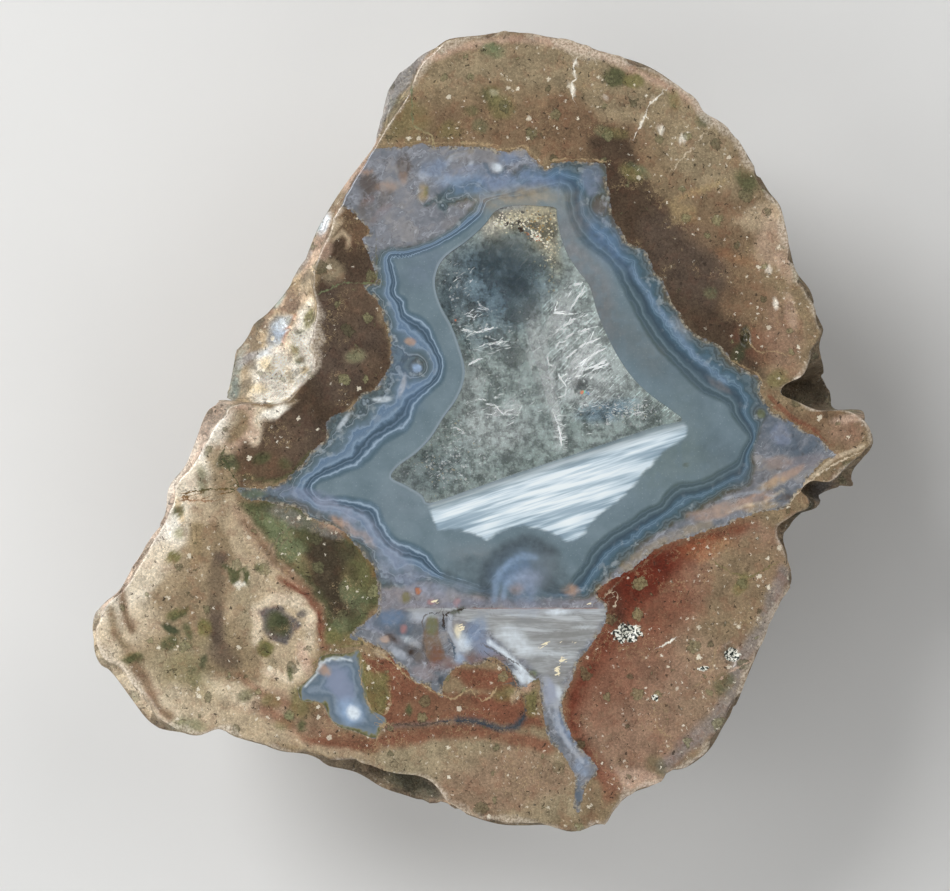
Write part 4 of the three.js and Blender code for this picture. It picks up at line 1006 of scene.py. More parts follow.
# The agate's bands, as stops of a ramp: share of the way from the wall to the core, colour as seen.
RIGHT_BANDS = [
    (0.00, (89, 86, 77)), (0.06, (88, 93, 87)), (0.11, (104, 114, 117)), (0.16, (76, 86, 89)),
    (0.23, (102, 118, 126)), (0.29, (78, 96, 105)), (0.35, (81, 104, 117)), (0.43, (89, 112, 130)),
    (0.465, (114, 138, 154)), (0.49, (83, 107, 127)), (0.52, (104, 128, 146)), (0.55, (76, 100, 117)),
    (0.62, (72, 91, 105)), (0.67, (65, 82, 95)), (0.72, (78, 95, 106)), (0.78, (85, 104, 114)),
    (0.83, (109, 127, 138)), (0.86, (80, 98, 106)), (0.92, (76, 93, 102)), (0.96, (90, 107, 117)),
    (1.00, (83, 100, 105)),
]
LEFT_BANDS = [
    (0.00, (96, 102, 100)), (0.06, (79, 90, 94)), (0.12, (102, 116, 120)), (0.17, (75, 87, 93)),
    (0.21, (136, 149, 158)), (0.25, (90, 104, 110)), (0.33, (95, 113, 123)), (0.42, (106, 124, 138)),
    (0.48, (131, 151, 171)), (0.51, (102, 125, 149)), (0.58, (112, 133, 154)), (0.64, (134, 156, 177)),
    (0.67, (104, 126, 147)), (0.71, (78, 97, 114)), (0.75, (70, 89, 104)), (0.78, (109, 129, 149)),
    (0.81, (76, 95, 111)), (0.86, (84, 106, 125)), (0.91, (159, 179, 198)), (0.94, (106, 127, 144)),
    (1.00, (88, 109, 121)),
]
# The loose agate outside the bands, the waterline layers, the level layers, and the nodule from its edge in.
LOOSE_COLOURS = [
    (0.0, (108, 113, 120)), (0.3, (128, 131, 138)), (0.46, (148, 151, 158)), (0.56, (120, 124, 131)),
    (0.8, (132, 133, 138)), (1.0, (144, 142, 142)),
]
LAYER_COLOURS = [
    (0.0, (136, 157, 172)), (0.25, (160, 180, 194)), (0.5, (190, 208, 219)), (0.75, (214, 228, 237)),
    (1.0, (238, 246, 249)),
]
LEVEL_COLOURS = [
    (0.0, (142, 144, 143)), (0.3, (154, 156, 155)), (0.45, (170, 173, 174)), (0.62, (152, 154, 153)),
    (0.8, (174, 178, 180)), (1.0, (194, 199, 202)),
]
NODULE_COLOURS = [
    (0.0, (92, 92, 60)), (0.04, (126, 124, 96)), (0.08, (118, 130, 140)), (0.2, (98, 114, 128)),
    (0.3, (128, 142, 156)), (0.38, (108, 124, 142)), (0.55, (136, 148, 170)), (1.0, (152, 162, 184)),
]


class Wire:
    """An output socket in an expression. The operators add Math nodes, or Vector Math nodes for a vector."""

    def __init__(self, recipe, socket):
        self.recipe, self.socket = recipe, socket

    def step(self, operation, first, second):
        kind = "ShaderNodeVectorMath" if self.socket.type in ("VECTOR", "RGBA") else "ShaderNodeMath"
        return self.recipe.node(kind, {"operation": operation}, {0: first, 1: second})

    def __add__(self, other):
        return self.step("ADD", self, other)

    def __radd__(self, other):
        return self.step("ADD", other, self)

    def __sub__(self, other):
        return self.step("SUBTRACT", self, other)

    def __rsub__(self, other):
        return self.step("SUBTRACT", other, self)

    def __mul__(self, other):
        return self.step("MULTIPLY", self, other)

    def __rmul__(self, other):
        return self.step("MULTIPLY", other, self)

    def __truediv__(self, other):
        return self.step("DIVIDE", self, other)

    def __rtruediv__(self, other):
        return self.step("DIVIDE", other, self)

    def __abs__(self):
        return self.recipe.node("ShaderNodeMath", {"operation": "ABSOLUTE"}, {0: self})


class Recipe:
    """The nodes of one material."""

    def __init__(self, name):
        self.material = bpy.data.materials.new(name)
        self.material.use_nodes = True
        self.tree = self.material.node_tree
        self.tree.nodes.clear()

    def node(self, kind, settings=None, sockets=None, output=0):
        """Adds a node with its settings first, then the values or links of its sockets, and gives an output.
        Three numbers for a colour are the colour as seen."""
        node = self.tree.nodes.new(kind)
        for key, value in (settings or {}).items():
            if key == "stops":
                while len(node.color_ramp.elements) < len(value):
                    node.color_ramp.elements.new(1.0)
                for element, (position, colour) in zip(node.color_ramp.elements, value):
                    element.position, element.color = position, (*as_light(colour), 1.0)
            else:
                setattr(node, key, value)
        for key, value in (sockets or {}).items():
            socket = node.inputs[key]
            if isinstance(value, Wire):
                self.tree.links.new(value.socket, socket)
            elif socket.type == "VECTOR" and isinstance(value, (int, float)):
                socket.default_value = (value,) * 3
            elif socket.type == "RGBA" and len(value) == 3:
                socket.default_value = (*as_light(value), 1.0)
            else:
                socket.default_value = value
        return Wire(self, node.outputs[output]) if node.outputs else None

    def place(self):
        """Object coordinates in mm."""
        return self.node("ShaderNodeTexCoord", output="Object") * 1000.0

    def field(self, name, output="Fac"):
        """A field that is stored on the mesh."""
        return self.node("ShaderNodeAttribute", {"attribute_name": name}, output=output)

    def noise(self, at, per_mm, detail=2.0, roughness=0.5, output="Fac", solid=False):
        """Noise from 0 to 1, over the plane or solid."""
        sockets = {"Vector": at, "Scale": per_mm, "Detail": detail, "Roughness": roughness}
        settings = {"noise_dimensions": "3D" if solid else "2D"}
        return self.node("ShaderNodeTexNoise", settings, sockets, output)

    def part(self, at, number):
        """One of the three coordinates of a place."""
        return self.node("ShaderNodeSeparateXYZ", {}, {0: at}, number)

    def cells(self, at, per_mm):
        """Cells strewn over the plane: the distance to the nearest middle, and its three random numbers."""
        settings, sockets = {"voronoi_dimensions": "2D"}, {"Vector": at, "Scale": per_mm}
        near = self.node("ShaderNodeTexVoronoi", settings, sockets)
        chances = Wire(self, near.socket.node.outputs["Color"])
        parts = self.node("ShaderNodeSeparateColor", {}, {0: chances}).socket.node
        return near, [Wire(self, output) for output in parts.outputs]

    def facets(self, at, per_mm):
        """Cells whose heights are planes tilted at random: the height in mm, and a random number for each."""
        near, chances = self.cells(at, per_mm)
        lean, middle = (Wire(self, near.socket.node.outputs[name]) for name in ("Color", "Position"))
        sockets = {0: at - middle, 1: lean - 0.5}
        return self.node("ShaderNodeVectorMath", {"operation": "DOT_PRODUCT"}, sockets, "Value"), chances[2]

    def slanted(self, at):
        """Coordinates for patterns over the plane: X and Y where the stone is flat, and on its sides the
        height and whichever of X and Y runs along the side."""
        x, y, z = (self.part(at, k) for k in range(3))
        flat, sideways = (self.fade(self.field(name), -0.01, 0.01) for name in ("flat", "sideways"))
        across = x + sideways * (y - x + 140.0)
        return self.node("ShaderNodeCombineXYZ", {}, {0: across + flat * (x - across), 1: z + flat * (y - z)})

    def along(self, at, degrees, sizes):
        """Coordinates in a frame turned about Z, in steps of the given sizes in mm."""
        frame_turned = {"Vector": at, "Rotation": (0, 0, math.radians(degrees)), "Scale": sizes}
        return self.node("ShaderNodeMapping", {"vector_type": "TEXTURE"}, frame_turned)

    def fade(self, value, low, high):
        """0 at low and 1 at high, by an S-curve."""
        sockets = {"Value": value, 1: low, 2: high, 3: 0.0, 4: 1.0}
        return self.node("ShaderNodeMapRange", {"interpolation_type": "SMOOTHSTEP"}, sockets)

    def ramp(self, value, stops):
        return self.node("ShaderNodeValToRGB", {"stops": stops}, {0: value})

    def mix(self, share, first, second, blend="MIX"):
        settings = {"data_type": "RGBA", "blend_type": blend}
        return self.node("ShaderNodeMix", settings, {0: share, 6: first, 7: second}, 2)

    def finish(self, surface, volume=None):
        sockets = {"Surface": surface} if volume is None else {"Surface": surface, "Volume": volume}
        self.node("ShaderNodeOutputMaterial", {}, sockets)
        return self.material


def agate_colour(r, at):
    """The agate: bands along their own field, loose agate outside them, chalcedony inside, white waterline
    layers, level layers and the nodule, under patches of tint."""
    slow = r.noise(at, 0.12, 1.0) - 0.5
    wobble = r.noise(at, 0.9, 2.0) - 0.5
    lobes, _ = r.cells(at + 1.6 * (r.noise(at, 0.5, 1.0, 0.5, "Color") - 0.5), 0.42)
    frills, _ = r.cells(at, 1.5)
    share = r.field("bands")
    outer = 1.0 - r.fade(share, 0.1, 0.85)
    free = 1.0 - r.field("eye")
    shift = 0.12 * slow + 0.10 * wobble - (0.04 + 0.24 * outer) * (lobes - 0.42)
    shift = shift - (0.02 + 0.06 * outer) * (frills - 0.42)
    shift = shift + 0.24 * outer * (r.noise(at, 0.6, 3.0, 0.6) - 0.5)
    share = share + shift * free
    left = r.part(at, 0)
    bands = r.mix(r.fade(left + 3.0 * slow, 8.0, -2.0), r.ramp(share, RIGHT_BANDS), r.ramp(share, LEFT_BANDS))
    hair = r.node("ShaderNodeTexNoise", {"noise_dimensions": "1D"}, {"W": share * 30.0, "Detail": 2.0})
    bands = r.mix(1.0, bands, 0.56 + 0.76 * hair, "MULTIPLY")
    milk = r.fade(r.noise(at, 0.7, 3.0, 0.6), 0.56, 0.72) * outer * 0.45
    bands = r.mix(milk, bands, (176, 184, 188))
    murk = r.fade(r.noise(at + 40.0, 0.8, 3.0, 0.65), 0.58, 0.7) * (1.0 - r.fade(share, 0.02, 0.3)) * 0.6
    bands = r.mix(murk, bands, (74, 72, 66))
    swirl = r.noise(r.along(at + 2.4 * wobble, 15.0, (6.0, 3.2, 6.0)), 1.0, 3.0, 0.6) + 0.1 * (lobes - 0.42)
    loose = r.ramp(r.fade(swirl, 0.32, 0.68), LOOSE_COLOURS)
    loose = r.mix(1.0, loose, 0.62 + 0.76 * r.noise(at, 1.3, 4.0, 0.7), "MULTIPLY")
    turns = r.node("ShaderNodeMath", {"operation": "PINGPONG"}, {0: swirl * 14.0, 1: 1.0})
    seen = r.fade(r.noise(at + 63.0, 0.45, 2.0, 0.6), 0.48, 0.6)
    loose = r.mix(r.fade(turns, 0.16, 0.03) * seen * 0.75, loose, (84, 82, 80))
    loose = r.mix(r.fade(turns, 0.86, 0.98) * seen * 0.6, loose, (188, 192, 198))
    fine = r.field("fine") + 0.9 * wobble
    colour = r.mix(r.fade(fine, -0.4, 0.3), loose, bands)
    core = r.field("core") + 0.25 * wobble
    cloud = r.mix(r.noise(at, 0.3, 3.0, 0.6), (94, 112, 121), (127, 144, 153))
    sparkle = r.fade(r.noise(at, 4.0, 1.0), 0.7, 0.78) * 0.25
    cloud = r.mix(sparkle, cloud, (168, 180, 184))
    colour = r.mix(r.fade(core, 0.0, 0.5), colour, cloud)
    tint = r.mix(1.0, r.field("tint", "Color"), 0.5 + 0.85 * r.noise(at, 1.0, 3.0, 0.6), "MULTIPLY")
    cover = r.field("tint", "Alpha") * (0.55 + 0.45 * r.fade(r.noise(at + 12.0, 0.7, 2.0, 0.5), 0.3, 0.55))
    colour = r.mix(cover, colour, tint)
    streak = r.noise(r.along(at, 17.4, (13.0, 0.75, 5.0)), 1.0, 3.0, 0.6)
    layers = r.field("layers")
    away = 0.0 - r.field("quartz")
    soft = r.fade(layers + 0.6 * (streak - 0.5) + 0.5 * wobble, -0.15, 0.45)
    white = r.ramp(r.fade(streak, 0.3, 0.64) * 0.75 + 0.25 * r.fade(layers, 0.0, 2.5), LAYER_COLOURS)
    white = r.mix(r.fade(away + 1.2 * (streak - 0.5), 1.7, -0.1), white, (138, 150, 154))
    colour = r.mix(soft * 0.97, colour, white)
    level = r.noise(r.along(at, 0.5, (8.0, 0.8, 5.0)), 1.0, 3.0, 0.6)
    under = LEVEL_TOP - 0.16 * wobble - r.part(at, 1)
    shown = r.fade(r.field("level") + 1.2 * (level - 0.5) + 0.8 * wobble, -0.1, 0.7)
    shown = shown * r.fade(under, -0.06, 0.06)
    colour = r.mix(shown * 0.85, colour, r.ramp(r.fade(level, 0.28, 0.72), LEVEL_COLOURS))
    thread = r.fade(abs(under), 0.11, 0.03) * r.fade(left, -3.0, 0.0) * r.fade(left, 14.6, 14.0)
    colour = r.mix(thread * 0.75, colour, (150, 116, 108))
    rim = r.fade(abs(r.field("quartz") + 0.16 + 0.1 * wobble), 0.25, 0.04) * r.fade(left, 14.0, -2.0)
    rim = rim * r.fade(LEVEL_TOP - under, 27.0, 22.0)
    colour = r.mix(rim * 0.55, colour, (150, 161, 168))
    nodule = r.field("nodule") + 0.4 * wobble
    within = r.ramp(nodule / 5.0 + 0.3 * (r.noise(at, 0.45, 3.0) - 0.5), NODULE_COLOURS)
    colour = r.mix(r.fade(nodule, -0.08, 0.08), colour, within)
    gloss = r.field("gloss", "Color")
    colour = r.mix(r.field("gloss", "Alpha") * (0.5 + 0.8 * r.noise(at, 1.6, 2.0)), colour, gloss)
    glint = r.field("glint")
    sliver = r.noise(r.along(at + 5.0, 24.0, (1.1, 0.32, 1.0)), 1.0, 2.0, 0.7) + 0.34 * glint
    colour = r.mix(r.fade(sliver, 0.64, 0.68) * r.fade(glint, 0.0, 0.3), colour, (244, 232, 200))
    wall = r.field("wall") + 0.35 * wobble
    crumb = r.noise(at, 2.4, 2.0, 0.6)
    crust = r.mix(r.fade(crumb, 0.4, 0.6), (96, 86, 72), (168, 158, 138))
    crusted = r.fade(wall, 0.55, 0.1) * r.fade(nodule, 0.3, -0.1)
    crusted = crusted * r.fade(r.noise(at + 7.0, 0.8, 2.0), 0.42, 0.58)
    return r.mix(crusted * 0.8, colour, crust)


def rhyolite_colour(r, at, polish):
    """The rhyolite: its painted patches under mottles and sandy grain, with pale crystals, dark pores, olive
    grains, thread-like growths and hairlines."""
    at = r.slanted(at)
    ragged = at + 1.1 * (r.noise(at, 1.5, 2.0, 0.6, "Color") - 0.5)
    torn = at + 1.5 * (r.noise(at, 0.9, 4.0, 0.75, "Color") - 0.5)
    chipped = at + 0.9 * (r.noise(at, 2.6, 3.0, 0.75, "Color") - 0.5)
    fair = r.fade(r.field("ground"), 0.06, 0.17)
    mottle = r.noise(ragged, 0.42, 5.0, 0.72)
    grain = r.fade(r.noise(at, 3.0, 3.0, 0.75), 0.3, 0.7)
    sand = (mottle - 0.5) * 1.1 + (grain - 0.5) * 0.42 + 0.96
    colour = r.mix(1.0, r.field("ground", "Color"), sand, "MULTIPLY")
    for shift, per_mm, low, high, strength, shade in (
            (11.0, 0.42, 0.52, 0.64, 0.22, (70, 62, 46)), (31.0, 0.7, 0.54, 0.64, 0.16, (164, 144, 114)),
            (57.0, 0.5, 0.5, 0.66, 0.22, (134, 82, 62))):
        patch = r.fade(r.noise(ragged + shift, per_mm, 4.0, 0.72), low, high)
        colour = r.mix(patch * strength * (0.35 + 0.65 * fair), colour, shade)
    cluster = r.fade(r.noise(at + 5.0, 0.17, 2.0, 0.6), 0.52, 0.6)
    thread = abs(r.noise(ragged + 77.0, 0.8, 3.0, 0.7) - 0.5)
    colour = r.mix(r.fade(thread, 0.02, 0.004) * cluster * 0.5, colour, (178, 156, 118))
    crack = abs(r.noise(ragged + 17.0, 0.1, 2.0, 0.6) - 0.5)
    colour = r.mix(r.fade(crack, 0.004, 0.001) * (1 - cluster) * 0.5, colour, (56, 44, 34))
    near, (size, kind, _) = r.cells(ragged, 1.05)
    shown = r.fade(near - 0.15 * size, 0.03, -0.02) * r.fade(kind, 0.5, 0.48)
    colour = r.mix(shown * 0.8, colour, (50, 42, 34))
    near, (size, kind, tone) = r.cells(chipped + 23.0, 0.8)
    shown = r.fade(near - 0.25 * size * size * size * size - 0.01, 0.02, -0.01)
    shown = shown * r.fade(kind - 0.12 * cluster - 0.15 * fair, 0.08, 0.06)
    colour = r.mix(shown * (0.55 + 0.4 * tone), colour, (228, 219, 198))
    near, (size, kind, tone) = r.cells(chipped + 67.0, 1.5)
    shown = r.fade(near - 0.2 * size, 0.03, -0.02) * r.fade(kind - 0.12 * cluster - 0.12 * fair, 0.05, 0.03)
    colour = r.mix(shown * (0.3 + 0.6 * tone), colour, (232, 224, 206))
    grit = r.fade(r.noise(at + 91.0, 4.6, 1.0, 0.5), 0.64, 0.7)
    colour = r.mix(grit * 0.5, colour, colour * 1.6)
    near, (size, kind, tone) = r.cells(torn + 47.0, 0.3)
    body = near - 0.03 - 0.24 * size * size
    shown = r.fade(kind, 0.62, 0.6)
    inner = r.mix(tone, (72, 72, 52), (138, 136, 100)) * (0.5 + grain)
    colour = r.mix(r.fade(body, 0.015, -0.015) * shown * 0.6, colour, inner)
    colour = r.mix(r.fade(abs(body), 0.022, 0.006) * shown * 0.5, colour, (54, 46, 34))
    vug = r.field("vug") + 1.7 * (r.noise(at, 1.3, 4.0, 0.7) - 0.56)
    crystals = r.noise(at + 8.0, 2.9, 2.0, 0.6)
    crystals = r.mix(r.fade(crystals, 0.47, 0.53), (44, 50, 46), (236, 236, 224))
    colour = r.mix(r.fade(vug, -0.02, 0.08) * polish, colour, crystals)
    weathered = r.field("edge") + 4.0 * (r.noise(at, 0.14, 2.0) - 0.4) + 1.6 * (mottle - 0.5)
    weathered = r.fade(weathered, 1.2, 0.3)
    crust = r.mix(grain, (152, 136, 116), (240, 228, 210))
    return r.mix(weathered * (0.1 + 0.4 * polish), colour, crust)


def stone_material(settings):
    """Agate and rhyolite, polished on the cut face and rough on the broken skin."""
    r = Recipe("rhyolite_and_agate")
    at = r.place()
    wall = r.field("wall") + 0.5 * (r.noise(at, 1.1, 2.0) - 0.5) + 0.3 * (r.noise(at, 3.6, 1.0) - 0.5)
    is_agate = r.node("ShaderNodeMath", {"operation": "MAXIMUM"},
                      {0: r.fade(wall, -0.05, 0.05), 1: r.fade(r.field("nodule"), -0.05, 0.05)})
    polish = r.fade(r.field("polish"), 0.35, 0.65)
    colour = r.mix(is_agate * polish, rhyolite_colour(r, at, polish), agate_colour(r, at))
    fray = r.noise(at, 1.4, 4.0, 0.7)
    across = abs(r.field("vein") + 0.9 * (fray - 0.5))
    thin = 0.34 * (r.noise(at + 3.0, 0.7, 2.0) - 0.28)
    line_shown = r.fade(across - thin, 0.05, -0.05) * r.field("vein_paint", "Alpha")
    vein = r.mix(1.0, r.field("vein_paint", "Color"), 0.35 + 1.1 * r.noise(at, 3.0, 2.0), "MULTIPLY")
    colour = r.mix(line_shown, colour, vein)
    tooth = r.noise(at, 2.2, 4.0, 0.7, solid=True)
    facet, shade = r.facets(r.slanted(at) + 2.0 * (tooth - 0.5), 0.6)
    whole = r.fade(abs(r.field("flat")), 0.0, 0.08)
    whole = whole * r.fade(abs(r.field("sideways")) + r.field("flat"), 0.0, 0.1)
    # Broken skin: grain and a random tone for each facet, and lighter on average by about a quarter, as
    # painted light.
    skin_grain_and_painted_light = r.mix(1.0, colour, 0.66 + 1.04 * tooth + 0.16 * shade * whole, "MULTIPLY")
    colour = r.mix(polish, skin_grain_and_painted_light, colour)
    haze = 0.5 * r.noise(at, 0.5, 4.0, 0.7) + 0.5 * r.noise(at + 15.0, 1.7, 4.0, 0.75)
    deep = r.mix(1.0, r.field("bed", "Color"), r.fade(haze, 0.38, 0.58) * 0.3 + 0.72, "MULTIPLY")
    feather = r.noise(r.along(at, 52.0, (2.2, 0.25, 1.0)), 1.0, 3.0, 0.65)
    deep = r.mix(r.fade(feather, 0.6, 0.7) * r.fade(haze, 0.44, 0.56), deep, (253, 255, 255))
    colour = r.mix(r.field("bed", "Alpha"), colour, deep)
    matt = settings.polish_roughness + 0.06 * (1 - is_agate)
    roughness = settings.skin_roughness * (1 - polish) + matt * polish
    relief = (1 - polish) * (0.7 * tooth + facet * whole)
    bump = r.node("ShaderNodeBump", {}, {"Strength": 1.0, "Distance": 0.8 * MM, "Height": relief})
    return r.finish(r.node("ShaderNodeBsdfPrincipled", {}, {
        "Base Color": colour, "Roughness": roughness, "IOR": 1.54, "Specular IOR Level": 0.5,
        "Normal": bump}))


def quartz_material(settings):
    """Clear quartz: plain transmission, index of refraction and absorption."""
    r = Recipe("clear_quartz")
    surface = r.node("ShaderNodeBsdfPrincipled", {}, {
        "Base Color": (1, 1, 1, 1), "Roughness": 0.0, "IOR": 1.544, "Transmission Weight": 1.0})
    volume = r.node("ShaderNodeVolumeAbsorption", {}, {
        "Color": (*settings.colour, 1.0), "Density": settings.absorption})
    return r.finish(surface, volume)


def inclusion_material(name, settings):
    """Clouds, flakes, veils and specks in the quartz: coloured and as see-through as their own field says."""
    r = Recipe(name)
    at = r.place()
    colour, cover = r.field("shade", "Color"), r.field("shade", "Alpha")
    if name == "quartz_clouds":
        puff = 0.55 * r.noise(at, 0.45, 3.0, 0.7) + 0.45 * r.noise(at + 15.0, 1.5, 4.0, 0.75)
        x, y = r.part(at, 0), r.part(at, 1)
        wisp = r.fade(r.noise(r.along(at, 44.0, (2.0, 0.24, 1.0)), 1.0, 4.0, 0.7), 0.57, 0.66)
        wisp = wisp * r.fade(x, 6.0, 9.0) * r.fade(y, 0.0, 4.0) * r.fade(y, 21.0, 16.0)
        grain = r.fade(r.noise(at + 31.0, 4.2, 1.0), 0.6, 0.74)
        tone = 0.7 + 0.42 * r.fade(puff, 0.38, 0.62) + 0.4 * wisp + 0.4 * grain
        colour = r.mix(1.0, colour, tone, "MULTIPLY")
        cover = cover * (0.7 + 0.5 * r.fade(puff, 0.36, 0.6) + 0.7 * wisp)
    elif name == "quartz_veils":
        cover = cover * (0.35 + 1.1 * r.noise(at, 1.6, 3.0))
    # Painted light: the flakes glow in their own colour, for the light their faces would catch and throw
    # back.
    painted_glow = 0.32 if name == "quartz_flakes" else 0.0
    return r.finish(r.node("ShaderNodeBsdfPrincipled", {}, {
        "Base Color": colour, "Roughness": 0.35, "IOR": 1.2, "Alpha": cover * settings.inclusion_strength,
        "Emission Color": colour, "Emission Strength": painted_glow}))


def floor_material(settings):
    """Pale paper with a faint tooth."""
    r = Recipe("pale_floor")
    at = r.place()
    shade = r.mix(0.04, (*settings.floor_colour, 1.0), r.noise(at, 0.02, 3.0), "MULTIPLY")
    return r.finish(r.node("ShaderNodeBsdfPrincipled", {}, {
        "Base Color": shade, "Roughness": 0.9, "Specular IOR Level": 0.2}))


class ThundereggStoneSettings(bpy.types.PropertyGroup):
    """Sizes and finish of the stone."""

    knob_height: bpy.props.FloatProperty(
        name="Knob Height", description="How far the back's broad knobs stand out", default=5.6 * MM,
        min=0, soft_max=0.01, unit="LENGTH")
    wart_height: bpy.props.FloatProperty(
        name="Wart Height", description="How far the back's small lumps stand out", default=2.8 * MM,
        min=0, soft_max=0.006, unit="LENGTH")
    rib_height: bpy.props.FloatProperty(
        name="Rib Height", description="How far the ribs between the knobs stand out", default=2.2 * MM,
        min=0, soft_max=0.005, unit="LENGTH")
    draw_in: bpy.props.FloatProperty(
        name="Draw In", description="How far the back draws in under the girth", default=2.2 * MM,
        min=0, soft_max=0.005, unit="LENGTH")
    sink: bpy.props.FloatProperty(
        name="Foot Flat", description="How much of the lowest knobs is worn flat", default=1.7 * MM,
        min=0, soft_max=0.004, unit="LENGTH")
    polish_roughness: bpy.props.FloatProperty(
        name="Polish", description="Roughness of the polished cut face", default=0.16, min=0, max=1,
        subtype="FACTOR")
    skin_roughness: bpy.props.FloatProperty(
        name="Skin Roughness", description="Roughness of the broken skin", default=0.88, min=0, max=1,
        subtype="FACTOR")


class ThundereggQuartzSettings(bpy.types.PropertyGroup):
    """Size and clearness of the quartz."""

    quartz_depth: bpy.props.FloatProperty(
        name="Depth", description="Depth of the quartz under the cut face", default=9.0 * MM,
        min=0.002, soft_max=0.012, unit="LENGTH")
    quartz_taper: bpy.props.FloatProperty(
        name="Taper", description="Width of the quartz's foot as a share of its mouth", default=0.72,
        min=0.3, max=1, subtype="FACTOR")
    quartz_gap: bpy.props.FloatProperty(
        name="Overlap", description="How far the quartz reaches into the wall of its hollow",
        default=0.15 * MM, min=0, soft_max=0.0005, unit="LENGTH")
    colour: bpy.props.FloatVectorProperty(
        name="Colour", description="Colour that the quartz lets through", default=(0.70, 0.80, 0.79),
        min=0, max=1, subtype="COLOR")
    absorption: bpy.props.FloatProperty(
        name="Absorption", description="How strongly the quartz colours light, per metre", default=10.0,
        min=0, soft_max=200)
    inclusion_strength: bpy.props.FloatProperty(
        name="Inclusions", description="How strongly the clouds, flakes and healed cracks show", default=0.9,
        min=0, max=1, subtype="FACTOR")


class ThundereggStageSettings(bpy.types.PropertyGroup):
    """The floor, the light and the camera."""

    floor_colour: bpy.props.FloatVectorProperty(
        name="Floor", description="Colour of the floor", default=(0.78, 0.78, 0.77), min=0, max=1,
        subtype="COLOR")
    lamp_power: bpy.props.FloatProperty(
        name="Lamp Power", description="Power of one lamp of share 1", default=3.22, min=0, soft_max=100,
        unit="POWER")
    ambient: bpy.props.FloatProperty(
        name="Ambient", description="Strength of the light from all round", default=0.08, min=0, soft_max=2)
    field_width: bpy.props.FloatProperty(
        name="Field Width", description="Width that the camera sees at the cut face", default=118.75 * MM,
        min=0.01, unit="LENGTH")
    lens: bpy.props.FloatProperty(
        name="Lens", description="Focal length in mm", default=150.0, min=20, soft_max=300)


def bed_points(stone, angle, share, gap=0.0):
    """The floor of the quartz's hollow: its lowest ring drawn towards the middle by a share, rising and
    falling by noise."""
    r = (reach(stone.quartz, angle) * stone.quartz_taper) * share
    x, y = r * np.cos(angle), r * np.sin(angle)
    rough = 0.8 * (noise(x + 40, y, 5.0) - 0.5) + 2.4 * (noise(x / 3 + 5, y / 3, 2.0) - 0.4) * (1 - share**4)
    z = stone.height - stone.quartz_depth + rough - 2 * gap
    return *from_hub(angle, r + gap * share), z


def chips(angle):
    """How far the cut edge is nibbled, in mm, by noise along it; deeper where small chips have come off."""
    x, y = 16 * np.cos(angle), 16 * np.sin(angle)
    fine, chip = noise(3 * x, 3 * y, 1.0), noise(x, y, 7.0)
    return 0.32 * (fine - 0.5) + 0.55 * smoothstep(chip, 0.62, 0.85)


def pits(x, y):
    """Depth of the small holes in the cut face, each a soft-edged dent."""
    depth = np.zeros_like(x)
    for px, py, radius, deep in ((18.2, -24.9, 0.9, 0.7), (31.0, -27.5, 1.1, 0.8), (32.9, 12.1, 0.7, 0.6)):
        ragged = radius * (0.7 + 0.6 * noise(x * 1.7, y * 1.7, 4.0))
        dent = 1 - smoothstep(np.hypot(x - px, (y - py) * 0.8), 0.55 * ragged, ragged)
        depth = np.maximum(depth, deep * dent)
    return depth


def stone_mesh(stone, columns=600, face_rows=110, side_rows=22, back_rows=28):
    """Every ring of the stone in one order: the hollow's floor from the middle out, its wall up, the cut face
    out, the side down to the girth, and the back down to the foot on half as many columns, whose directions
    turn to equal steps. Returns points in mm, faces, how polished each point is, and what is hollow."""
    angle = stone.directions(columns)
    rings = []
    for share in (0.12, 0.26, 0.4, 0.55, 0.7, 0.85):
        rings.append(bed_points(stone, angle, np.full(columns, share)))
    for depth in (1.0, 0.75, 0.5, 0.25, 0.02):
        rings.append(stone.quartz_ring(angle, np.full(columns, depth)))
    face_start = columns * len(rings)
    nibble = chips(angle)
    for row, t in enumerate(np.linspace(0, 1, face_rows + 1) ** 0.85):
        x, y, z = stone.face(angle, t)
        x, y = (p - nibble * t**24 * d for p, d in ((x, np.cos(angle)), (y, np.sin(angle))))
        z = z - pits(x, y) - (0.1 + 0.25 * np.maximum(nibble, 0)) * (row == face_rows)
        rings.append((x, y, z))
    face_end = columns * len(rings)
    girth, join = stone.shoulder(angle, np.ones(columns)), stone.back(angle, np.zeros(columns))
    for t in np.linspace(0, 1, side_rows + 1)[1:]:
        x, y, z = stone.shoulder(angle, t)
        near, far = (1 - t) ** 6, float(smoothstep(t, 0.5, 1.0))
        rough = roughness_depth(x, y, z) * 1.5 * smoothstep(t, 0, 0.25) * (1 - far)
        rough = rough * (0.55 + 0.45 * stone.hollow(angle)[0])
        rings.append((x - (nibble * near + rough) * np.cos(angle) + (join[0] - girth[0]) * far,
                      y - (nibble * near + rough) * np.sin(angle) + (join[1] - girth[1]) * far,
                      z - 0.6 * rough - 0.1 * near + (join[2] - girth[2]) * far))
    half = columns // 2
    upper = angle[::2]
    even = upper[0] + 2 * math.pi * np.arange(half) / half
    even = even + np.mean(upper - even)
    low_rings = []
    for w in (np.arange(1, back_rows + 1) / (back_rows + 0.6)) ** 0.9:
        turned = upper + (even - upper) * smoothstep(w, 0.05, 0.6)
        low_rings.append(stone.back(turned, np.full(half, w)))
    middle = bed_points(stone, np.zeros(1), np.zeros(1))
    foot = tuple(np.mean(p, keepdims=True) for p in low_rings[-1])
    points = np.vstack([np.column_stack(ring) for ring in rings + low_rings + [middle, foot]])
    first_low = columns * len(rings)
    tips = first_low + half * len(low_rings)
    faces = [ring_faces(columns, len(rings)), halving_faces(columns, first_low - columns, first_low),
             ring_faces(half, len(low_rings), first_low), fan_faces(columns, 0, tips),
             fan_faces(half, tips - half, tips + 1, True)]
    polished, hollow = np.zeros(len(points)), np.zeros(len(points))
    polished[face_start:face_end] = 1.0
    hollow[:face_start] = 1.0
    hollow[tips] = 1.0
    return points, faces, polished, hollow


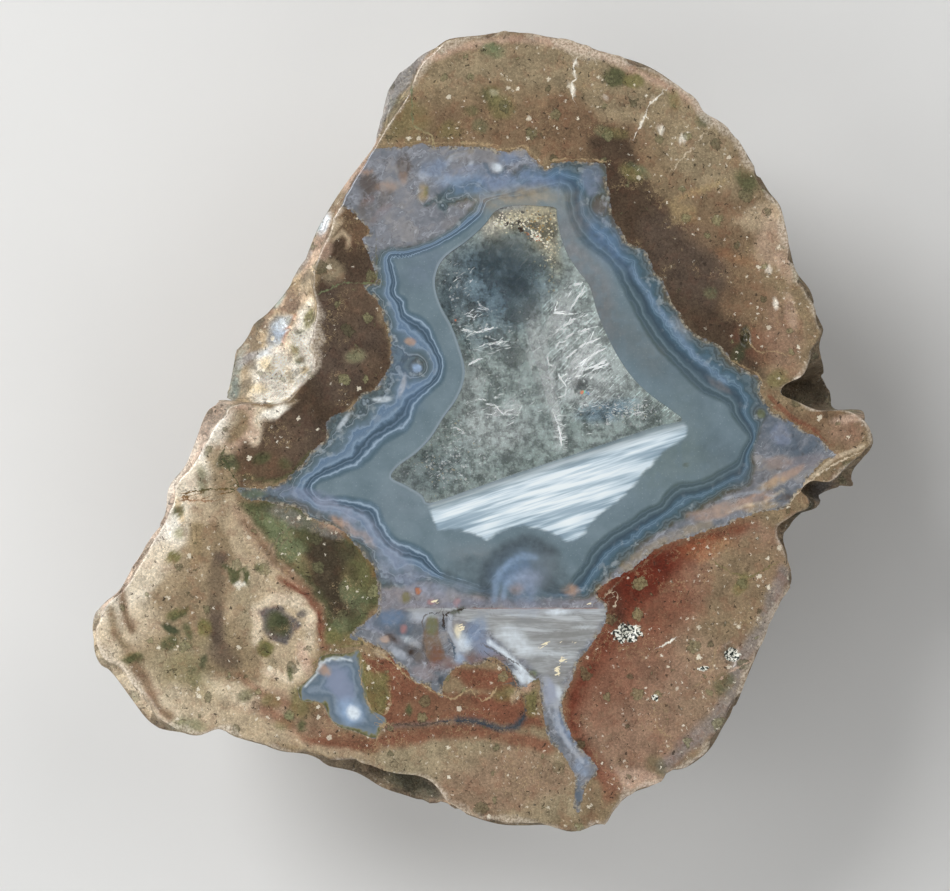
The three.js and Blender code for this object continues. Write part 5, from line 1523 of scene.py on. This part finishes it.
def paint_stone(piece, points, polished, hollow):
    """Stores the fields that the stone's material reads: distances to the outlines, the bands' own field,
    and the painted patches."""
    x, y, z = points.T
    on_top = z > FACE_HEIGHT - PAINTED_DEPTH
    px, py = x[on_top], y[on_top]

    def spread(values, elsewhere):
        full = np.full((len(points), *values.shape[1:]), elsewhere, float)
        full[on_top] = values
        return full

    outlines = {
        "wall": WALL_TOP + WALL_RIGHT + WALL_ARM + WALL_STEM + WALL_LEFT + WALL_TONGUE,
        "fine": BANDS_TONGUE + WALL_RIGHT + BANDS_ARM + WALL_LEFT,
        "core": CORE_EDGE, "quartz": QUARTZ_EDGE, "layers": WHITE_LAYERS, "level": LEVEL_LAYERS,
        "nodule": NODULE,
    }
    depths = {name: depth_inside(px, py, outline) for name, outline in outlines.items()}
    for name, depth in depths.items():
        set_field(piece, name, spread(depth, -20))
    from_eyes = [(np.hypot(px - ex, py - ey), radius) for ex, ey, radius in EYES]
    outward = np.min([depths["fine"], *(distance - radius for distance, radius in from_eyes)], axis=0)
    outward = np.maximum(outward, 0)
    set_field(piece, "bands", spread(outward / (outward + np.maximum(-depths["core"], 0) + 1e-6), 0))
    near_eyes = [1 - smoothstep(distance, radius + 0.5, radius + 2) for distance, radius in from_eyes]
    set_field(piece, "eye", spread(0.85 * np.max(near_eyes, axis=0), 0))
    for name, ellipses in (("vug", VUGS), ("glint", GLINTS)):
        within = [1 - np.hypot(*turned(px - cx, py - cy, degrees, rx, ry))
                  for cx, cy, rx, ry, degrees in ellipses]
        set_field(piece, name, spread(np.max(within, axis=0), -5))
    set_field(piece, "polish", polished)
    normals = np.empty(3 * len(points), np.float32)
    piece.data.vertex_normals.foreach_get("vector", normals)
    normals = normals.reshape(-1, 3)
    upward = normals[on_top, 2]
    normals = np.abs(normals)
    set_field(piece, "flat", normals[:, 2] - 0.42)
    set_field(piece, "sideways", normals[:, 0] - normals[:, 1] + (np.abs(x) - np.abs(y)) / 50)
    edge = about_hub(closed_curve(CUT_EDGE, EDGE_STEPS))
    angle, run = np.arctan2(py - HUB[1], px - HUB[0]), np.hypot(px - HUB[0], py - HUB[1])
    set_field(piece, "edge", spread(reach(edge, angle) - run, -5))
    vein = np.full(px.shape, 20.0)
    for _, line, *_ in VEINS:
        distance, side, _ = line_distance(px, py, line)
        vein = np.where(distance < np.abs(vein), distance * side, vein)
    set_field(piece, "vein", spread(vein, 20))
    for name, painted, most in (("vein_paint", VEINS, 1.0), ("gloss", LEVEL_TINTS, 1.0),
                                ("tint", AGATE_TINTS, 0.9)):
        shade, strength = paint(px, py, None, painted)
        set_field(piece, name, spread(np.column_stack([shade, strength * most]), 0))
    ground, _ = paint(px, py, "tan", GROUND)
    skin, covered = paint(px, py, None, SKIN)
    covered = (covered * (1 - polished[on_top]))[:, None]
    ground = ground * (1 - covered) + skin * covered
    hidden = 0.85 * (1 - smoothstep(upward + 0.3 * noise(px / 2, py / 2, z[on_top] / 2), 0.12, 0.4))
    deep = np.maximum(smoothstep(FACE_HEIGHT - z[on_top], 7, 13), hidden)[:, None]
    rind, _ = paint(x, y, "tan", RIND)
    ground = ground * (1 - deep) + rind[on_top] * deep
    rind[on_top] = ground
    set_field(piece, "ground", np.column_stack([rind, np.ones(len(points))]))
    bed, _ = paint(x, y, "water", BED)
    set_field(piece, "bed", np.column_stack([bed, hollow]))


def quartz_mesh(stone, columns=360):
    """The quartz: a flat top at the height of the cut face, its side a little outside the hollow's wall, and
    its floor a little under the hollow's, each point found as the hollow's are."""
    angle = stone.directions(columns)
    x, y, height = stone.face(angle, 0.0)
    rings = [(HUB[0] + (x - HUB[0]) * share, HUB[1] + (y - HUB[1]) * share, height)
             for share in (0.1, 0.25, 0.4, 0.55, 0.7, 0.85, 1.0)]
    for depth in np.linspace(0, 1, 5)[1:]:
        rings.append(stone.quartz_ring(angle, np.full(columns, depth), stone.gap))
    for share in (0.85, 0.7, 0.55, 0.4, 0.26, 0.12):
        rings.append(bed_points(stone, angle, np.full(columns, share), stone.gap))
    floor = bed_points(stone, np.zeros(1), np.zeros(1), stone.gap)
    points = np.vstack([np.column_stack(ring) for ring in (*rings, (*HUB, stone.height), floor)])
    count = columns * len(rings)
    faces = [ring_faces(columns, len(rings)), fan_faces(columns, 0, count),
             fan_faces(columns, count - columns, count + 1, True)]
    return points, faces


def plate_points(centre, along, across, normal, size, slim, thick, ragged):
    """Thin closed chips: seven rim points round an ellipse with ragged radii, and a middle raised a little on
    either side of it along the normal. All inputs hold one row for each chip."""
    turn = 2 * math.pi * np.arange(7) / 7
    rim = (size[:, None] * ragged * np.cos(turn))[..., None] * along[:, None]
    rim = rim + ((size * slim)[:, None] * ragged * np.sin(turn))[..., None] * across[:, None]
    tips = np.stack([normal * thick, -normal * thick], 1)
    return (np.concatenate([rim, tips], 1) + centre[:, None]).reshape(-1, 3)


def chip_faces(sides, count):
    """Triangles for each of a number of chips, whose points are a rim and then a tip on either side of it."""
    i, j = around(sides)
    one = [np.stack([i, j, np.full(sides, sides)], -1), np.stack([j, i, np.full(sides, sides + 1)], -1)]
    return (np.concatenate(one) + (sides + 2) * np.arange(count)[:, None, None]).reshape(-1, 3)


def inside_quartz(stone, points, margin=0.25):
    """Which points lie in the quartz, by their distance from the hub against its outline at that depth."""
    dx, dy = points[:, 0] - HUB[0], points[:, 1] - HUB[1]
    angle = np.arctan2(dy, dx)
    share = np.clip((stone.height - points[:, 2]) / stone.quartz_depth, 0, 1)
    limit = stone.quartz_reach(angle, share) - margin
    deepest = stone.height - stone.quartz_depth + 1.4
    return (np.hypot(dx, dy) < limit) & (points[:, 2] < stone.height - 0.08) & (points[:, 2] > deepest)


def flake_mesh(stone):
    """The flakes of every cluster, each along its cluster's direction at a random lean, and the splinters
    along every bright crack. Any that would break through the quartz is left out."""
    dice = np.random.default_rng(11)
    points, shade = [], []

    def strew(x, y, depth, heading, lean, size, slim, name, cover):
        centre = np.column_stack([x, y, stone.height - depth])
        along = np.column_stack([np.cos(heading), np.sin(heading), dice.normal(0, 0.12, len(x))])
        along /= np.linalg.norm(along, axis=1)[:, None]
        side = np.cross(along, [0, 0, 1.0])
        side /= np.linalg.norm(side, axis=1)[:, None]
        across = side * np.cos(lean)[:, None] + np.cross(side, along) * np.sin(lean)[:, None]
        normal = np.cross(along, across)
        ragged = dice.uniform(0.6, 1.1, (len(x), 7))
        chip = plate_points(centre, along, across, normal, size, slim, HALF_THICKNESS, ragged)
        kept = inside_quartz(stone, chip).reshape(len(x), 9).all(1)
        points.append(chip.reshape(-1, 9, 3)[kept].reshape(-1, 3))
        alpha = np.repeat(cover[kept], 9)
        shade.append(np.column_stack([np.tile(as_light(name), (len(alpha), 1)), alpha]))

    for x, y, sx, sy, degrees, count, sizes, depths, name in FLAKES:
        turn = math.radians(degrees)
        u, v = dice.normal(0, 0.5, count) * sx, dice.normal(0, 0.5, count) * sy
        c, s = math.cos(turn), math.sin(turn)
        rounded = name != "bright"
        strew(x + u * c - v * s, y + u * s + v * c,
              dice.uniform(*depths, count) * stone.quartz_depth, turn + dice.normal(0, 0.38, count),
              dice.uniform(0.0, 0.5, count), dice.uniform(*sizes, count),
              np.full(count, 0.75) if rounded else dice.uniform(0.04, 0.12, count), name,
              dice.uniform(0.5, 1.2, count) + 0.6 * rounded)
    for line_points, count, sizes, stray in SPLINTERS:
        line_points = np.array(line_points)
        at = dice.uniform(0, len(line_points) - 1, count)
        step = np.minimum(at.astype(int), len(line_points) - 2)
        run = line_points[step + 1] - line_points[step]
        place = line_points[step] + run * (at - step)[:, None] + dice.normal(0, 0.5 * stray, (count, 2))
        strew(*place.T, dice.uniform(0.27, 0.5, count),
              np.arctan2(run[:, 1], run[:, 0]) + dice.normal(0, 0.22, count), dice.uniform(0, 0.4, count),
              dice.uniform(*sizes, count), dice.uniform(0.08, 0.17, count), "bright", np.full(count, 1.8))
    points = np.vstack(points)
    return points, [chip_faces(7, len(points) // 9)], np.vstack(shade)


def cloud_mesh(stone, columns=300, shares=40):
    """A thin closed sheet across the quartz, up to 3 mm under its face: two layers of rings from the middle
    out to the outline, at a depth that rises and falls by noise and is least at the rim, where they are
    joined. Points, faces, and colour with cover."""
    angle = stone.directions(columns)
    layers = []
    for half in (HALF_THICKNESS, -HALF_THICKNESS):
        for share in np.linspace(0.03, 0.998, shares):
            x, y = from_hub(angle, reach(stone.quartz, angle) * share)
            depth = 0.5 + 1.8 * noise(x / 2.4, y / 2.4, 9.0) + 0.8 * noise(x / 0.8, y / 0.8, 4.0)
            depth = 0.2 + depth * (1 - smoothstep(share, 0.84, 0.998))
            layers.append(np.column_stack([x, y, stone.height - depth + half]))
    count = columns * shares
    tips = [np.mean(layers[0], 0), np.mean(layers[shares], 0)]
    points = np.vstack(layers + [tips])
    top, under = ring_faces(columns, shares), ring_faces(columns, shares, count)[:, ::-1]
    i, j = around(columns)
    upper, lower = count - columns, 2 * count - columns
    rim = np.stack([upper + i, lower + i, lower + j, upper + j], -1)
    faces = [top, under, rim, fan_faces(columns, 0, 2 * count),
             fan_faces(columns, count, 2 * count + 1, True)]
    x, y = points[:, 0], points[:, 1]
    shade, cover = paint(x, y, None, CLOUDS)
    for cx, cy, rx, ry, share in THIN:
        cover = cover * (1 - share * (1 - smoothstep(np.hypot((x - cx) / rx, (y - cy) / ry), 0.5, 1.2)))
    return points, faces, np.column_stack([shade, cover])


def veil_mesh(stone, steps=14, rows=3):
    """The healed cracks: each a thin closed sheet that hangs from its upper edge, a smooth line through its
    points, leaning as it goes down, with a wavy lower edge."""
    points, faces, shade, start = [], [], [], 0
    for number, (edge, depth, lean) in enumerate(VEILS):
        edge = np.array(edge, float)
        at = np.linspace(0, len(edge) - 1, steps)
        x = np.interp(at, np.arange(len(edge)), edge[:, 0]) + 0.25 * np.sin(1.9 * at + number)
        y = np.interp(at, np.arange(len(edge)), edge[:, 1])
        heading = np.arctan2(np.gradient(y), np.gradient(x))
        down = np.linspace(0, 1, rows + 1)[:, None]
        drop = 0.25 + 0.3 * depth * down * (0.7 + 0.3 * np.sin(2.3 * at + number))
        sheets = []
        for half in (0.03, -0.03):
            across = lean * depth * down + half * np.sin(math.pi * np.linspace(0, 1, steps)) ** 0.5
            sheets.append(np.stack([x - across * np.sin(heading), y + across * np.cos(heading),
                                    stone.height - drop], -1))
        one = np.vstack([sheets[0].reshape(-1, 3), sheets[1].reshape(-1, 3)])
        ok = inside_quartz(stone, one, 0.1)
        one[:, 2] = np.maximum(one[:, 2], stone.height - stone.quartz_depth + 1.5)
        i, j = np.meshgrid(np.arange(rows), np.arange(steps - 1), indexing="ij")
        a = (i * steps + j).ravel()
        front = np.stack([a, a + 1, a + 1 + steps, a + steps], -1)
        count = (rows + 1) * steps
        loop = np.concatenate([
            np.arange(steps), steps * np.arange(2, rows + 2) - 1,
            rows * steps + np.arange(steps - 2, -1, -1), steps * np.arange(rows - 1, 0, -1)])
        after = np.roll(loop, -1)
        rim = np.stack([loop, loop + count, after + count, after], -1)
        faces.append(np.concatenate([front, front[:, ::-1] + count, rim]) + start)
        points.append(one)
        fading = np.tile(np.sin(math.pi * np.linspace(0, 1, steps)), 2 * (rows + 1)) * 0.3 * ok
        shade.append(np.column_stack([np.tile(as_light("bright"), (len(one), 1)), fading]))
        start += len(one)
    return np.vstack(points), faces, np.vstack(shade)


def speck_mesh(stone):
    """Specks: eight-sided grains strewn through ellipses of the quartz."""
    dice = np.random.default_rng(23)
    centres, tones = [], []
    for x, y, sx, sy, count, name in SPECKS:
        spread = dice.normal(0, 0.5, (count, 2)) * [sx, sy]
        depth = 0.35 + dice.uniform(0.0, 0.7, count) ** 2 * stone.quartz_depth
        centres.append(np.column_stack([x + spread[:, 0], y + spread[:, 1], stone.height - depth]))
        tones.append(np.tile([*as_light(name), 1.0], (count, 1)))
    centres, tones = np.vstack(centres), np.vstack(tones)
    kept = inside_quartz(stone, centres, 0.4)
    centres, tones = centres[kept], tones[kept]
    size = dice.uniform(0.14, 0.42, len(centres)) ** 2
    corners = np.array([(1, 0, 0), (0, 1, 0), (-1, 0, 0), (0, -1, 0), (0, 0, 1), (0, 0, -1)], float)
    grains = corners * size[:, None, None] * dice.uniform(0.6, 1.4, (len(centres), 6, 1)) + centres[:, None]
    return grains.reshape(-1, 3), [chip_faces(4, len(centres))], np.repeat(tones, 6, axis=0)


# The stage: the floor's profile as distance from the middle and height in mm, and the lamps' azimuth and
# elevation in degrees, share of the power and diameter in metres.
FLOOR_COLUMNS = 96
FLOOR_PROFILE = [(300, 0), (700, 0), (1200, 0), (1700, 0), (1900, 30), (2050, 120), (2130, 280), (2150, 520),
                 (2150, 1000), (2150, 1600)]
LAMPS = [(138, 50, 2.3, 0.5), (40, 55, 0.75, 0.8), (-60, 50, 0.6, 0.8), (-150, 50, 0.9, 0.8),
         (168, 18, 2.0, 0.6)]
LAMP_DISTANCE = 1.2  # from the origin, in metres
SENSOR_WIDTH = 36  # in mm
VIEW_CENTRE = (-1.04, -1.34)  # the point of the stone under the camera, in mm


class OBJECT_OT_thunderegg_stone(bpy.types.Operator):
    """Make the rhyolite nodule with its agate star and the hollow for the quartz"""

    bl_idname = "object.thunderegg_stone"
    bl_label = "Thunderegg Stone"
    bl_options = {"REGISTER", "UNDO"}

    def execute(self, context):
        stone = Stone(context.scene)
        points, faces, polished, hollow = stone_mesh(stone)
        piece = mesh_object("thunderegg_stone", points, faces, 50)
        paint_stone(piece, points, polished, hollow)
        piece.data.materials.append(stone_material(context.scene.thunderegg_stone))
        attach(piece, "root")
        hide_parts("thunderegg_half")
        return {"FINISHED"}


class OBJECT_OT_thunderegg_quartz(bpy.types.Operator):
    """Make the clear quartz in the middle of the star"""

    bl_idname = "object.thunderegg_quartz"
    bl_label = "Quartz Centre"
    bl_options = {"REGISTER", "UNDO"}

    def execute(self, context):
        points, faces = quartz_mesh(Stone(context.scene))
        piece = mesh_object("quartz_clear", points, faces, 40)
        piece.data.materials.append(quartz_material(context.scene.thunderegg_quartz))
        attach(piece, "root")
        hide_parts("quartz_centre")
        return {"FINISHED"}


class OBJECT_OT_thunderegg_inclusions(bpy.types.Operator):
    """Make the clouds, flakes, healed cracks and specks in the quartz"""

    bl_idname = "object.thunderegg_inclusions"
    bl_label = "Quartz Inclusions"
    bl_options = {"REGISTER", "UNDO"}

    def execute(self, context):
        stone = Stone(context.scene)
        for name, make in (("quartz_clouds", cloud_mesh), ("quartz_flakes", flake_mesh),
                           ("quartz_veils", veil_mesh), ("quartz_specks", speck_mesh)):
            points, faces, shade = make(stone)
            piece = mesh_object(name, points, faces, 30)
            set_field(piece, "shade", shade)
            piece.data.materials.append(inclusion_material(name, context.scene.thunderegg_quartz))
            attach(piece, "root")
        return {"FINISHED"}


class OBJECT_OT_thunderegg_stage(bpy.types.Operator):
    """Make the floor, the lamps, the light from all round and the camera"""

    bl_idname = "object.thunderegg_stage"
    bl_label = "Stage"
    bl_options = {"REGISTER", "UNDO"}

    def execute(self, context):
        scene, settings = context.scene, context.scene.thunderegg_stage
        turn = 2 * math.pi * np.arange(FLOOR_COLUMNS) / FLOOR_COLUMNS
        rings = [np.column_stack([r * np.cos(turn), r * np.sin(turn), np.full(FLOOR_COLUMNS, float(z))])
                 for r, z in FLOOR_PROFILE]
        points = np.vstack(rings + [[[0, 0, 0]]])
        faces = [ring_faces(FLOOR_COLUMNS, len(rings)),
                 fan_faces(FLOOR_COLUMNS, 0, FLOOR_COLUMNS * len(rings))]
        floor = mesh_object("floor", points, faces)
        floor.data.materials.append(floor_material(settings))
        for number, (azimuth, elevation, share, size) in enumerate(LAMPS):
            lamp = bpy.data.lights.new(f"lamp_{number + 1}", "AREA")
            lamp.shape, lamp.size, lamp.energy = "DISK", size, settings.lamp_power * share
            holder = bpy.data.objects.new(lamp.name, lamp)
            scene.collection.objects.link(holder)
            a, e = math.radians(azimuth), math.radians(elevation)
            aim = (math.cos(a) * math.cos(e), math.sin(a) * math.cos(e), math.sin(e))
            holder.location = [LAMP_DISTANCE * part for part in aim]
            holder.rotation_euler = (math.pi / 2 - e, 0, a + math.pi / 2)
        world = bpy.data.worlds.new("studio")
        world.use_nodes = True
        background = world.node_tree.nodes["Background"].inputs
        background["Color"].default_value = (1.0, 1.0, 1.0, 1.0)
        background["Strength"].default_value = settings.ambient
        scene.world = world
        view = bpy.data.cameras.new("camera")
        view.lens, view.sensor_width, view.clip_end = settings.lens, SENSOR_WIDTH, 20
        camera = bpy.data.objects.new("camera", view)
        distance = settings.field_width * settings.lens / SENSOR_WIDTH
        camera.location = (VIEW_CENTRE[0] * MM, VIEW_CENTRE[1] * MM, FACE_HEIGHT * MM + distance)
        scene.collection.objects.link(camera)
        scene.camera = camera
        scene.view_settings.view_transform = "Standard"
        return {"FINISHED"}


class VIEW3D_PT_thunderegg(bpy.types.Panel):
    """The pieces of the thunderegg and their settings"""

    bl_label = "Thunderegg"
    bl_space_type = "VIEW_3D"
    bl_region_type = "UI"
    bl_category = "Thunderegg"

    def draw(self, context):
        layout = self.layout
        for operator in OPERATORS:
            layout.operator(operator.bl_idname)
        for group in (context.scene.thunderegg_stone, context.scene.thunderegg_quartz,
                      context.scene.thunderegg_stage):
            box = layout.box()
            for name in group.bl_rna.properties.keys():
                if name not in ("rna_type", "name"):
                    box.prop(group, name)


SETTINGS = {
    "thunderegg_stone": ThundereggStoneSettings,
    "thunderegg_quartz": ThundereggQuartzSettings,
    "thunderegg_stage": ThundereggStageSettings,
}
OPERATORS = (OBJECT_OT_thunderegg_stone, OBJECT_OT_thunderegg_quartz, OBJECT_OT_thunderegg_inclusions,
             OBJECT_OT_thunderegg_stage)


def register():
    for cls in (*SETTINGS.values(), *OPERATORS, VIEW3D_PT_thunderegg):
        bpy.utils.register_class(cls)
    for name, group in SETTINGS.items():
        setattr(bpy.types.Scene, name, bpy.props.PointerProperty(type=group))


def unregister():
    for name in SETTINGS:
        delattr(bpy.types.Scene, name)
    for cls in (VIEW3D_PT_thunderegg, *reversed(OPERATORS), *reversed(SETTINGS.values())):
        bpy.utils.unregister_class(cls)


def main():
    register()
    bpy.ops.object.thunderegg_stone()
    bpy.ops.object.thunderegg_quartz()
    bpy.ops.object.thunderegg_inclusions()
    bpy.ops.object.thunderegg_stage()


if __name__ == "__main__":
    main()
